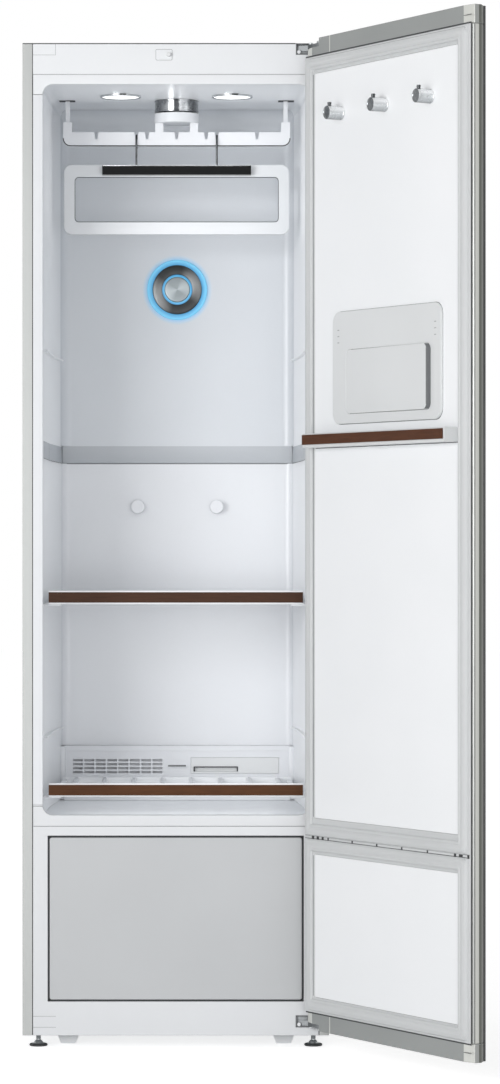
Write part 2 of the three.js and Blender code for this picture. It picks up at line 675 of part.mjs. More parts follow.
// A rib follows the side wall from one depth to another and stands out of it by its reach.
function wallRib(side, innerEdge, level) {
  const stations = [RIB_FRONT, MID_DEPTH, RIB_BACK];
  const wallEdge = stations.map((y) => [side * (wallHalfWidth(y) + LINER_WALL / 2), y]);
  const freeEdge = stations.map((y) => [side * innerEdge(y), y]).reverse();
  return drawn('z', outline([...wallEdge, ...freeEdge]), downFrom(level - GAP, WALL_RIB_HEIGHT));
}

function sideLiner(side) {
  const back = CHAMBER_DEPTH - GAP;
  const inner = [[OPENING_HALF, 0], [MID_HALF_WIDTH, MID_DEPTH], [wallHalfWidth(back), back]];
  const outer = [
    [wallHalfWidth(back) + LINER_WALL, back],
    [MID_HALF_WIDTH + LINER_WALL, MID_DEPTH],
    [OPENING_HALF + LINER_WALL, LINER_WALL],
    [FRAME_HALF, LINER_WALL],
    [FRAME_HALF, 0],
  ];
  const plan = [...inner, ...outer].map(([x, y]) => [side * x, y]);
  const wall = drawn('z', outline(plan), [OPENING_BOTTOM + GAP, OPENING_TOP - GAP]);
  const carrying = () => SHELF_HALF_WIDTH - RIB_REACH / 2;
  const spare = (y) => wallHalfWidth(y) - SPARE_RIB_REACH;
  const ribs = [SHELF_LEVEL, RACK_LEVEL].map((level) => wallRib(side, carrying, level));
  ribs.push(...SPARE_RIB_LEVELS.map((level) => wallRib(side, spare, level)));
  const corner = mirrored([OPENING_HALF - OVERRUN, HALF_WIDTH], side);
  const depths = [-OVERRUN, FRAME_DEPTH + GAP];
  const rims = [
    block(corner, depths, [OPENING_TOP - OPENING_RADIUS - GAP, OPENING_TOP + OVERRUN]),
    block(corner, depths, [OPENING_BOTTOM - OVERRUN, OPENING_BOTTOM + OPENING_RADIUS + GAP]),
  ];
  return shaped(wall, ribs, rims);
}

function ceiling() {
  const depths = [FRAME_DEPTH + GAP, CHAMBER_DEPTH + LINER_WALL];
  const heights = [OPENING_TOP, CEILING_TOP];
  const plate = block(both(OPENING_HALF + LINER_WALL), depths, heights);
  const cut = beyond(heights, OVERRUN);
  const shaft = rod('z', CRANK_SHAFT_RADIUS + SHAFT_PLAY, cut, [0, RAIL_DEPTH_PLACE]);
  const slotLength = POST_WIDTH + 2 * (SHAKE_TRAVEL + SLOT_CLEARANCE);
  const slotWidth = POST_DEPTH + 2 * SLOT_CLEARANCE;
  const slots = [-POST_PLACE, POST_PLACE].map((x) =>
    block(around(x, slotLength), around(RAIL_DEPTH_PLACE, slotWidth), cut),
  );
  return shaped(plate, [], [shaft, ...slots]);
}

function chamberFloor() {
  const depths = [FRAME_DEPTH + GAP, CHAMBER_DEPTH + LINER_WALL];
  return block(both(OPENING_HALF + LINER_WALL), depths, [FLOOR_UNDERSIDE, OPENING_BOTTOM]);
}

function ductCover() {
  const front = CHAMBER_DEPTH - DUCT_COVER_DEPTH;
  const back = CHAMBER_DEPTH + LINER_WALL;
  const points = [
    [front, DUCT_COVER_BOTTOM + DUCT_COVER_BEVEL],
    [CHAMBER_DEPTH, DUCT_COVER_BOTTOM],
    [back, DUCT_COVER_BOTTOM],
    [back, OPENING_TOP - GAP],
    [front, OPENING_TOP - GAP],
  ];
  const cover = drawn('x', outline(points), both(REAR_HALF_WIDTH - GAP));
  const portReach = beyond([front, back], OVERRUN);
  const port = rod('y', NOZZLE_HUB_RADIUS + GAP, portReach, [0, NOZZLE_HEIGHT], ROUND_SIDES);
  return shaped(cover, [], [port]);
}

function lowerBackWall() {
  const heights = [OPENING_BOTTOM + GAP, DUCT_COVER_BOTTOM - GAP];
  const wall = block(both(REAR_HALF_WIDTH + LINER_WALL), upFrom(CHAMBER_DEPTH, LINER_WALL), heights);
  const reach = [CHAMBER_DEPTH - PEG_LENGTH, CHAMBER_DEPTH + LINER_WALL / 2];
  const pegs = [-PEG_SPACING / 2, PEG_SPACING / 2].map((x) => rod('y', PEG_RADIUS, reach, [x, PEG_HEIGHT]));
  return shaped(wall, pegs);
}

function steamNozzle() {
  const back = DUCT_COVER_DEPTH + LINER_WALL;
  const profile = [
    [0, -back],
    [NOZZLE_HUB_RADIUS, -back],
    [NOZZLE_HUB_RADIUS, GAP],
    [NOZZLE_RADIUS, GAP],
    [NOZZLE_RADIUS, NOZZLE_PROUD],
    [NOZZLE_CAP_RADIUS, NOZZLE_PROUD],
    [NOZZLE_CAP_RADIUS, NOZZLE_CAP_PROUD],
    [NOZZLE_HUB_RADIUS, NOZZLE_CAP_PROUD],
    [NOZZLE_HUB_RADIUS, NOZZLE_HUB_PROUD],
    [0, NOZZLE_HUB_PROUD],
  ];
  const facingFront = new THREE.LatheGeometry(
    profile.map(([radius, height]) => new THREE.Vector2(radius, height)),
    ROUND_SIDES,
  ).rotateX(Math.PI);
  return facingFront.translate(0, CHAMBER_DEPTH - DUCT_COVER_DEPTH, NOZZLE_HEIGHT);
}

// Air module: a sloping face with a grille at the left and a filter at the right.
function moduleFace(height) {
  const share = (height - OPENING_BOTTOM) / (MODULE_TOP - OPENING_BOTTOM);
  const depth = MODULE_FOOT_DEPTH + (MODULE_HEAD_DEPTH - MODULE_FOOT_DEPTH) * share;
  return CHAMBER_DEPTH - depth;
}

// A prism that follows the module's face over a height range, between two depths behind the face.
function behindFace(xRange, [bottom, top], [near, far]) {
  const points = [
    [moduleFace(bottom) + near, bottom],
    [moduleFace(top) + near, top],
    [moduleFace(top) + far, top],
    [moduleFace(bottom) + far, bottom],
  ];
  return drawn('x', outline(points), xRange);
}

function grilleSlots() {
  const cellWidth = (GRILLE_RIGHT - GRILLE_LEFT) / GRILLE_COLUMNS;
  const cellHeight = (GRILLE_TOP - GRILLE_BOTTOM) / GRILLE_ROWS;
  const slots = [];
  for (let row = 0; row < GRILLE_ROWS; row += 1) {
    for (let column = 0; column < GRILLE_COLUMNS; column += 1) {
      const x = GRILLE_LEFT + (column + 0.5) * cellWidth;
      const z = GRILLE_BOTTOM + (row + 0.5) * cellHeight;
      const heights = around(z, cellHeight - GRILLE_BAR);
      slots.push(behindFace(around(x, cellWidth - GRILLE_BAR), heights, [-OVERRUN, GRILLE_DEPTH]));
    }
  }
  return slots;
}

function airModule() {
  const foot = OPENING_BOTTOM + GAP;
  const back = CHAMBER_DEPTH - GAP;
  const face = [[moduleFace(foot), foot], [moduleFace(MODULE_TOP), MODULE_TOP]];
  const points = [...face, [back, MODULE_TOP], [back, foot]];
  const body = drawn('x', outline(points), both(MODULE_HALF_WIDTH));
  const inset = behindFace(
    both(MODULE_INSET_HALF_WIDTH),
    [MODULE_INSET_BOTTOM, MODULE_INSET_TOP],
    [-OVERRUN, MODULE_INSET],
  );
  const pocket = behindFace(
    beyond([FILTER_LEFT, FILTER_RIGHT], GAP),
    beyond([FILTER_BOTTOM, FILTER_TOP], GAP),
    [-OVERRUN, MODULE_INSET + FILTER_DEPTH + GAP],
  );
  return shaped(body, [], [inset, pocket, ...grilleSlots()]);
}

function lintFilter() {
  const depths = [MODULE_INSET, MODULE_INSET + FILTER_DEPTH];
  const tray = behindFace([FILTER_LEFT, FILTER_RIGHT], [FILTER_BOTTOM, FILTER_TOP], depths);
  const grip = behindFace(
    upFrom(FILTER_GRIP_LEFT, FILTER_GRIP_WIDTH),
    upFrom(FILTER_BOTTOM + GRILLE_BAR, FILTER_GRIP_HEIGHT),
    [-OVERRUN, MODULE_INSET + FILTER_GRIP_DEPTH],
  );
  return shaped(tray, [], [grip]);
}

// Shaking drive: a motor above the ceiling turns a crank whose pin moves the rail from side to side.
function driveMotor() {
  const heights = upFrom(CEILING_TOP + GAP, MOTOR_HEIGHT);
  const bore = [CEILING_TOP - OVERRUN, CEILING_TOP + GAP + SHAFT_REACH + GAP];
  const place = [0, RAIL_DEPTH_PLACE];
  const shell = rod('z', MOTOR_RADIUS, heights, place, ROUND_SIDES);
  return shaped(shell, [], [rod('z', CRANK_SHAFT_RADIUS + SHAFT_PLAY, bore, place)]);
}

function driveCollar() {
  const bottom = OPENING_TOP - GAP - COLLAR_HEIGHT;
  const profile = [
    [COLLAR_BORE, bottom],
    [COLLAR_RADIUS, bottom],
    [COLLAR_RADIUS, bottom + COLLAR_HEIGHT],
    [COLLAR_BORE, bottom + COLLAR_HEIGHT],
    [COLLAR_BORE, bottom],
  ];
  return turned('z', profile, 0, [0, RAIL_DEPTH_PLACE]);
}

function driveCrank() {
  const middle = OPENING_TOP - GAP - COLLAR_HEIGHT / 2;
  const plate = rod('z', CRANK_RADIUS, around(middle, CRANK_PLATE), [0, RAIL_DEPTH_PLACE], ROUND_SIDES);
  const shaftReach = [middle, CEILING_TOP + GAP + SHAFT_REACH];
  const shaft = rod('z', CRANK_SHAFT_RADIUS, shaftReach, [0, RAIL_DEPTH_PLACE]);
  const pinPlace = [0, RAIL_DEPTH_PLACE - CRANK_THROW];
  const pin = rod('z', CRANK_PIN_RADIUS, [YOKE_TOP - CRANK_PIN_REACH, middle], pinPlace);
  return shaped(plate, [shaft, pin]);
}

// Hanging rail
function railNotch(x) {
  const bottom = RAIL_TOP - NOTCH_DEPTH;
  const points = [
    [x - NOTCH_BOTTOM_WIDTH / 2, bottom],
    [x + NOTCH_BOTTOM_WIDTH / 2, bottom],
    [x + NOTCH_TOP_WIDTH / 2, RAIL_TOP + GAP],
    [x - NOTCH_TOP_WIDTH / 2, RAIL_TOP + GAP],
  ];
  return drawn('y', outline(points), beyond(around(RAIL_DEPTH_PLACE, RAIL_THICKNESS), OVERRUN));
}

function railPost(x) {
  const wide = around(RAIL_DEPTH_PLACE, RAIL_THICKNESS);
  const sliderBottom = CEILING_TOP + GAP;
  return [
    block(around(x, POST_BLOCK_WIDTH), wide, [RAIL_TOP - RAIL_CORNER, RAIL_TOP + POST_BLOCK_HEIGHT]),
    block(around(x, POST_WIDTH), around(RAIL_DEPTH_PLACE, POST_DEPTH), [RAIL_TOP, sliderBottom + GAP]),
    block(
      around(x, SLIDER_LENGTH),
      around(RAIL_DEPTH_PLACE, SLIDER_WIDTH),
      upFrom(sliderBottom, SLIDER_HEIGHT),
    ),
  ];
}

// The yoke stands on two legs over the middle notch, with a blind slot for the crank pin.
function railYoke() {
  const wide = around(RAIL_DEPTH_PLACE, RAIL_THICKNESS);
  const bottom = YOKE_TOP - YOKE_PLATE;
  const plate = rod('z', COLLAR_RADIUS, [bottom, YOKE_TOP], [0, RAIL_DEPTH_PLACE], ROUND_SIDES);
  const legPlace = YOKE_LEG_INNER + YOKE_LEG / 2;
  const legs = [-legPlace, legPlace].map((x) =>
    block(around(x, YOKE_LEG), wide, [RAIL_TOP - NOTCH_DEPTH, bottom + YOKE_PLATE / 2]),
  );
  return [plate, ...legs];
}

function yokeSlot() {
  const length = 2 * (CRANK_THROW + CRANK_PIN_RADIUS + SLOT_CLEARANCE);
  return block(
    both(CRANK_PIN_RADIUS + CRANK_PIN_PLAY),
    around(RAIL_DEPTH_PLACE, length),
    [YOKE_TOP - CRANK_PIN_REACH - SLOT_CLEARANCE, YOKE_TOP + OVERRUN],
  );
}

function hangerRail() {
  const shape = new THREE.Shape();
  const corner = RAIL_HALF_LENGTH - RAIL_CORNER;
  shape.moveTo(-corner, RAIL_BOTTOM);
  shape.absarc(corner, RAIL_BOTTOM + RAIL_CORNER, RAIL_CORNER, -Math.PI / 2, 0, false);
  shape.lineTo(RAIL_HALF_LENGTH, RAIL_TOP);
  shape.lineTo(-RAIL_HALF_LENGTH, RAIL_TOP);
  shape.absarc(-corner, RAIL_BOTTOM + RAIL_CORNER, RAIL_CORNER, Math.PI, Math.PI * 1.5, false);
  const bar = drawn('y', shape, around(RAIL_DEPTH_PLACE, RAIL_THICKNESS));
  const places = [0, -1, 1, -2, 2].map((step) => step * NOTCH_PITCH);
  places.push(-YOKE_NOTCH_PLACE, YOKE_NOTCH_PLACE);
  const posts = [-POST_PLACE, POST_PLACE].flatMap(railPost);
  return shaped(bar, [...posts, ...railYoke()], [...places.map(railNotch), yokeSlot()]);
}

// Trouser hanger
function wireHook(x) {
  const arc = [];
  for (let step = 0; step <= HOOK_ARC_STEPS; step += 1) {
    const angle = (Math.PI * step) / HOOK_ARC_STEPS;
    const y = RAIL_DEPTH_PLACE - HOOK_BEND * Math.cos(angle);
    arc.push(new THREE.Vector3(x, y, HOOK_SWING_HEIGHT + HOOK_BEND * Math.sin(angle)));
  }
  const start = new THREE.Vector3(x, RAIL_DEPTH_PLACE - HOOK_BEND, CLAMP_TOP - CLAMP_HEIGHT / 2);
  const end = new THREE.Vector3(x, RAIL_DEPTH_PLACE + HOOK_BEND, HOOK_SWING_HEIGHT - HOOK_TAIL);
  const path = new THREE.CatmullRomCurve3([start, ...arc, end], false, 'centripetal');
  const section = new THREE.Shape().absarc(0, 0, HOOK_WIRE_RADIUS, 0, 2 * Math.PI, false);
  const options = { steps: 3 * HOOK_ARC_STEPS, curveSegments: HOOK_WIRE_SIDES, extrudePath: path };
  return new THREE.ExtrudeGeometry(section, options);
}

function clampDepths() {
  return upFrom(RAIL_DEPTH_PLACE - HOOK_BEND - CLAMP_LEAD, CLAMP_THICKNESS);
}

function trouserClamp() {
  const bar = block(both(CLAMP_HALF_LENGTH), clampDepths(), downFrom(CLAMP_TOP, CLAMP_HEIGHT));
  return shaped(bar, [-NOTCH_PITCH, NOTCH_PITCH].map(wireHook));
}

function trouserFrame() {
  const [bottom, top] = downFrom(BOARD_TOP, BOARD_HEIGHT);
  const depths = upFrom(clampDepths()[1] + GAP, BOARD_THICKNESS);
  const board = drawn('y', roundedOutline(both(BOARD_HALF_WIDTH), [bottom, top], BOARD_CORNER), depths);
  const window = roundedOutline(
    both(BOARD_HALF_WIDTH - BOARD_SIDE),
    [bottom + BOARD_BAR, top - BOARD_BAR],
    BOARD_WINDOW_CORNER,
  );
  return shaped(board, [], [drawn('y', window, beyond(depths, OVERRUN))]);
}

// Sliding shelf and rod rack
function shelfEdge(level) {
  const front = SHELF_FRONT + TRIM_THICKNESS + GAP;
  return block(both(TRIM_HALF_WIDTH), upFrom(front, SHELF_EDGE), upFrom(level, SHELF_THICKNESS));
}

function shelfTrim(level) {
  const heights = around(level + SHELF_THICKNESS / 2, TRIM_HEIGHT);
  return block(both(TRIM_HALF_WIDTH), upFrom(SHELF_FRONT, TRIM_THICKNESS), heights);
}

function upperShelf() {
  const front = SHELF_FRONT + TRIM_THICKNESS + GAP;
  const heights = upFrom(SHELF_LEVEL, SHELF_BOARD);
  const board = block(both(SHELF_HALF_WIDTH), [front, SHELF_BACK], heights);
  const reach = [front + SHELF_EDGE + SHELF_SLOT_MARGIN, SHELF_BACK - SHELF_SLOT_MARGIN];
  const pitch = (2 * (SHELF_HALF_WIDTH - SHELF_SLOT_MARGIN)) / (SHELF_SLOTS - 1);
  const slots = [];
  for (let index = 0; index < SHELF_SLOTS; index += 1) {
    const x = SHELF_SLOT_MARGIN - SHELF_HALF_WIDTH + index * pitch;
    slots.push(block(around(x, SHELF_SLOT_WIDTH), reach, beyond(heights, OVERRUN)));
  }
  return shaped(board, [shelfEdge(SHELF_LEVEL)], slots);
}

function lowerRack() {
  const front = SHELF_FRONT + TRIM_THICKNESS + GAP;
  const heights = upFrom(RACK_LEVEL, RACK_BAR);
  const sides = [-1, 1].map((side) =>
    block(mirrored(downFrom(SHELF_HALF_WIDTH, RACK_BAR), side), [front, RACK_BACK], heights),
  );
  const rear = block(
    both(SHELF_HALF_WIDTH),
    downFrom(RACK_BACK, RACK_BAR),
    upFrom(RACK_LEVEL, RACK_BAR + ROD_RADIUS),
  );
  const depths = [front + SHELF_EDGE / 2, RACK_BACK - RACK_BAR / 2];
  const rods = [];
  for (let index = 0; index < ROD_COUNT; index += 1) {
    const x = (index + 0.5) * ROD_PITCH - SHELF_HALF_WIDTH;
    rods.push(rod('y', ROD_RADIUS, depths, [x, RACK_LEVEL + RACK_BAR]));
  }
  return shaped(shelfEdge(RACK_LEVEL), [...sides, rear, ...rods]);
}

// Door, drawn shut
function doorSection(innerPoints) {
  const glassSide = GLASS_BACK + GAP;
  const half = [
    [DOOR_HALF_WIDTH - DOOR_CHAMFER, glassSide],
    [DOOR_HALF_WIDTH, glassSide + DOOR_CHAMFER],
    ...innerPoints,
  ];
  const other = half.map(([x, y]) => [-x, y]).reverse();
  return outline([...half, ...other]);
}

function doorShell() {
  const inner = [
    [DOOR_HALF_WIDTH, -DOOR_INNER - INNER_CHAMFER],
    [DOOR_HALF_WIDTH - INNER_CHAMFER, -DOOR_INNER],
  ];
  return drawn('z', doorSection(inner), skinHeights());
}

function skinHeights() {
  return [DOOR_BOTTOM + CAP_HEIGHT + GAP, CABINET_HEIGHT - CAP_HEIGHT - GAP];
}

// The door's two hinge notches: the bracket eye turns inside them.
function hingeNotch(heights) {
  const reach = [PIVOT_X - NOTCH_FROM_PIVOT, DOOR_HALF_WIDTH + OVERRUN];
  return block(reach, [-DOOR_OUTER - OVERRUN, OVERRUN], heights);
}

function topNotch() {
  return hingeNotch([CABINET_HEIGHT - TOP_NOTCH_HEIGHT, CABINET_HEIGHT + OVERRUN]);
}

function bottomNotch() {
  return hingeNotch([DOOR_BOTTOM - OVERRUN, DOOR_BOTTOM + BOTTOM_NOTCH_HEIGHT]);
}

function doorGlass() {
  const pane = block(
    both(DOOR_HALF_WIDTH - DOOR_CHAMFER),
    [-DOOR_OUTER, GLASS_BACK],
    [DOOR_BOTTOM, CABINET_HEIGHT],
  );
  return shaped(pane, [], [topNotch(), bottomNotch()]);
}

function doorCap(heights, notch, boreHeights) {
  const edge = -DOOR_INNER - INNER_CHAMFER;
  const inner = [[DOOR_HALF_WIDTH, edge], [DOOR_HALF_WIDTH - CAP_FACET, CAP_PROUD - DOOR_INNER]];
  const cap = drawn('z', doorSection(inner), heights);
  const bore = rod('z', HINGE_PIN_RADIUS + HINGE_PIN_PLAY, boreHeights, [PIVOT_X, PIVOT_Y]);
  return shaped(cap, [], [notch, bore]);
}

function topCap() {
  const floor = CABINET_HEIGHT - TOP_NOTCH_HEIGHT;
  const boreHeights = [floor + HINGE_WASHER - HINGE_PIN_REACH - GAP, CABINET_HEIGHT];
  return doorCap(downFrom(CABINET_HEIGHT, CAP_HEIGHT), topNotch(), boreHeights);
}

function bottomCap() {
  const roof = DOOR_BOTTOM + BOTTOM_NOTCH_HEIGHT;
  const boreHeights = [DOOR_BOTTOM, roof - HINGE_WASHER + HINGE_PIN_REACH + GAP];
  return doorCap(upFrom(DOOR_BOTTOM, CAP_HEIGHT), bottomNotch(), boreHeights);
}

function doorPanel(heights) {
  return block(both(PANEL_HALF_WIDTH), [-DOOR_INNER + GAP, PANEL_FACE], heights);
}

function gasketBead([bottom, top]) {
  const depths = [-DOOR_INNER + GAP, -BEAD_CLEARANCE];
  return {
    bead: block(both(BEAD_HALF_WIDTH), depths, [bottom, top]),
    inside: block(
      both(BEAD_HALF_WIDTH - BEAD_WIDTH),
      [-DOOR_INNER + GAP + GASKET_FLANGE, OVERRUN],
      beyond([bottom, top], -BEAD_WIDTH),
    ),
  };
}

function doorGasket() {
  const heights = skinHeights();
  const flange = block(both(GASKET_HALF_WIDTH), upFrom(-DOOR_INNER + GAP, GASKET_FLANGE), heights);
  const loops = [
    gasketBead([BEAD_SEAM + BEAD_MARGIN, heights[1] - BEAD_MARGIN]),
    gasketBead([heights[0] + BEAD_MARGIN, BEAD_SEAM - BEAD_MARGIN]),
  ];
  const panels = [[OPENING_BOTTOM, UPPER_PANEL_TOP], [LOWER_PANEL_BOTTOM, LOWER_PANEL_TOP]];
  const windows = panels.map((range) =>
    block(both(PANEL_HALF_WIDTH + GAP), [-DOOR_INNER - OVERRUN, OVERRUN], beyond(range, GAP)),
  );
  return shaped(flange, loops.map((loop) => loop.bead), [...loops.map((loop) => loop.inside), ...windows]);
}

function doorHook(x) {
  const reach = upFrom(PANEL_FACE + GAP, HOOK_LENGTH);
  const barrel = rod('y', HOOK_RADIUS, reach, [x, HOOK_LEVEL], ROUND_SIDES);
  const pegHeights = upFrom(HOOK_LEVEL + HOOK_RADIUS - HOOK_PEG_RADIUS, HOOK_PEG_RADIUS + HOOK_PEG_HEIGHT);
  return shaped(barrel, [rod('z', HOOK_PEG_RADIUS, pegHeights, [x, reach[1] - HOOK_PEG_INSET])]);
}

// Aroma case: a flat plate with a shallow pocket, closed by a wedge-shaped lid.
function aromaCase() {
  const depths = upFrom(PANEL_FACE + GAP, AROMA_PROUD);
  const spans = [around(AROMA_CENTRE, 2 * AROMA_HALF_WIDTH), upFrom(AROMA_BOTTOM, AROMA_HEIGHT)];
  const plate = drawn('y', roundedOutline(...spans, AROMA_CORNER), depths);
  const pocket = roundedOutline(
    beyond([LID_LEFT, LID_RIGHT], GAP),
    beyond(upFrom(LID_BOTTOM, LID_HEIGHT), GAP),
    LID_CORNER + GAP,
  );
  return shaped(plate, [], [drawn('y', pocket, [depths[1] - AROMA_POCKET, depths[1] + OVERRUN])]);
}

function lidBase() {
  return PANEL_FACE + AROMA_PROUD - AROMA_POCKET + 2 * GAP;
}

function aromaLid() {
  const base = lidBase();
  const points = [
    [LID_LEFT, base],
    [LID_RIGHT, base],
    [LID_RIGHT, base + LID_THIN],
    [LID_LEFT, base + LID_THICK],
  ];
  const wedge = drawn('z', outline(points), upFrom(LID_BOTTOM, LID_HEIGHT));
  const face = roundedOutline([LID_LEFT, LID_RIGHT], upFrom(LID_BOTTOM, LID_HEIGHT), LID_CORNER);
  const rounded = drawn('y', face, [base - OVERRUN, base + LID_THICK + OVERRUN]);
  return surface(solid(wedge).intersect(solid(rounded)));
}

function doorShelf() {
  const back = PANEL_FACE + GAP;
  const front = back + DOOR_SHELF_DEPTH - DOOR_SHELF_TRIM_THICKNESS - GAP;
  const heights = upFrom(DOOR_SHELF_BOTTOM, DOOR_SHELF_HEIGHT);
  const tray = block(both(DOOR_SHELF_HALF_WIDTH), [back, front], heights);
  const hollow = block(
    both(DOOR_SHELF_HALF_WIDTH - DOOR_SHELF_END),
    beyond([back, front], -DOOR_SHELF_END),
    [DOOR_SHELF_BOTTOM + DOOR_SHELF_FLOOR, heights[1] + OVERRUN],
  );
  return shaped(tray, [], [hollow]);
}

function doorShelfTrim() {
  const front = PANEL_FACE + GAP + DOOR_SHELF_DEPTH;
  return block(
    both(DOOR_SHELF_HALF_WIDTH - DOOR_SHELF_END),
    downFrom(front, DOOR_SHELF_TRIM_THICKNESS),
    upFrom(DOOR_SHELF_TRIM_BOTTOM, DOOR_SHELF_TRIM_HEIGHT),
  );
}

// Hinge brackets: each is bolted in its recess and reaches out to the pin that the door turns on.
function bracketPlan() {
  const inner = FRAME_HALF - LINER_WALL;
  const shape = new THREE.Shape();
  shape.moveTo(BRACKET_INNER, RECESS_DEPTH - SHEET);
  shape.lineTo(inner, RECESS_DEPTH - SHEET);
  shape.lineTo(inner, -GAP);
  shape.lineTo(PIVOT_X + BRACKET_EYE, PIVOT_Y);
  shape.absarc(PIVOT_X, PIVOT_Y, BRACKET_EYE, 0, -Math.PI, true);
  shape.lineTo(inner - 2 * BRACKET_EYE, -GAP);
  shape.lineTo(BRACKET_INNER, OVERRUN);
  return shape;
}

function hingeBracket(bearing, side) {
  const plate = side > 0 ? upFrom(bearing, BRACKET_THICKNESS) : downFrom(bearing, BRACKET_THICKNESS);
  const washerEnd = bearing - side * (HINGE_WASHER - GAP);
  const pinEnd = bearing - side * HINGE_PIN_REACH;
  const root = bearing + side * BRACKET_THICKNESS / 2;
  const washer = rod('z', BRACKET_EYE - SHEET, [washerEnd, root].sort((a, b) => a - b), [PIVOT_X, PIVOT_Y]);
  const pin = rod('z', HINGE_PIN_RADIUS, [pinEnd, root].sort((a, b) => a - b), [PIVOT_X, PIVOT_Y]);
  return shaped(drawn('z', bracketPlan(), plate), [washer, pin]);
}

// Water drawer
function drawerFront() {
  const face = roundedOutline(both(DRAWER_HALF_WIDTH), [DRAWER_BOTTOM, DRAWER_TOP], DRAWER_CORNER);
  return drawn('y', face, [0, DRAWER_FRONT]);
}

function drawerBin() {
  const depths = upFrom(DRAWER_FRONT + GAP, BIN_DEPTH);
  const heights = upFrom(BIN_BOTTOM, BIN_HEIGHT);
  const bin = block(both(BIN_HALF_WIDTH), depths, heights);
  const inside = block(
    both(BIN_HALF_WIDTH - BIN_WALL),
    beyond(depths, -BIN_WALL),
    [BIN_BOTTOM + BIN_WALL, heights[1] + OVERRUN],
  );
  return shaped(bin, [], [inside]);
}

function waterTank(x) {
  const middle = DRAWER_FRONT + GAP + BIN_DEPTH / 2;
  const bottom = BIN_BOTTOM + BIN_WALL + GAP;
  const plan = roundedOutline(around(x, TANK_WIDTH), around(middle, TANK_DEPTH), TANK_CORNER);
  const body = drawn('z', plan, upFrom(bottom, TANK_HEIGHT));
  const capHeights = [bottom + TANK_HEIGHT - TANK_CAP_HEIGHT, bottom + TANK_HEIGHT + TANK_CAP_HEIGHT];
  return shaped(body, [rod('z', TANK_CAP_RADIUS, capHeights, [x, middle])]);
}

// Steam plant
function compressor() {
  const dome = COMPRESSOR_RADIUS / 2;
  const profile = [
    [0, 0],
    [COMPRESSOR_RADIUS, 0],
    [COMPRESSOR_RADIUS, COMPRESSOR_HEIGHT - dome],
  ];
  for (let step = 1; step < ARC_STEPS; step += 1) {
    const angle = (Math.PI / 2) * (step / ARC_STEPS);
    profile.push([COMPRESSOR_RADIUS * Math.cos(angle), COMPRESSOR_HEIGHT - dome + dome * Math.sin(angle)]);
  }
  profile.push([0, COMPRESSOR_HEIGHT]);
  return turned('z', profile, PLANT_LEVEL, COMPRESSOR_PLACE);
}

function heatExchanger() {
  const [left, right] = upFrom(EXCHANGER_LEFT, EXCHANGER_WIDTH);
  const [front, back] = downFrom(REAR_FACE - EXCHANGER_BACK, EXCHANGER_DEPTH);
  const heights = upFrom(PLANT_LEVEL, EXCHANGER_HEIGHT);
  const core = block([left, right], [front, back], heights);
  const pitch = (right - left) / EXCHANGER_FINS;
  const gaps = [];
  for (let index = 0; index < EXCHANGER_FINS; index += 1) {
    const x = left + (index + 0.5) * pitch;
    const reach = [front - OVERRUN, front + EXCHANGER_FIN_DEPTH];
    gaps.push(block(around(x, EXCHANGER_FIN_GAP), reach, beyond(heights, OVERRUN)));
  }
  return shaped(core, [], gaps);
}

function steamGenerator() {
  const [x, y] = STEAMER_PLACE;
  const height = PLANT_LEVEL + STEAMER_SADDLE + STEAMER_RADIUS;
  const boiler = rod('x', STEAMER_RADIUS, around(x, STEAMER_LENGTH), [y, height], ROUND_SIDES);
  const saddles = [-1, 1].map((side) =>
    block(
      around(x + (side * STEAMER_LENGTH) / 4, STEAMER_SADDLE),
      around(y, STEAMER_RADIUS),
      [PLANT_LEVEL, height],
    ),
  );
  return shaped(boiler, saddles);
}

function blower() {
  const heights = downFrom(FLOOR_UNDERSIDE - GAP, BLOWER_HEIGHT);
  const body = rod('z', BLOWER_RADIUS, heights, BLOWER_PLACE, ROUND_SIDES);
  const intake = rod('z', BLOWER_THROAT, [heights[0] - BLOWER_LIP, heights[0] + BLOWER_LIP], BLOWER_PLACE);
  return shaped(body, [intake]);
}

function controlBox() {
  const sides = downFrom(HALF_WIDTH - CONTROL_SIDE_SPACE, CONTROL_WIDTH);
  const depths = downFrom(REAR_FACE - CONTROL_BACK, CONTROL_DEPTH);
  return block(sides, depths, upFrom(PLANT_LEVEL, CONTROL_HEIGHT));
}

function switchPlunger() {
  return rod('y', SWITCH_RADIUS, [-SWITCH_PROUD, SWITCH_STEM], switchPlace());
}

// Groups
const SIDES = [['left', -1], ['right', 1]];

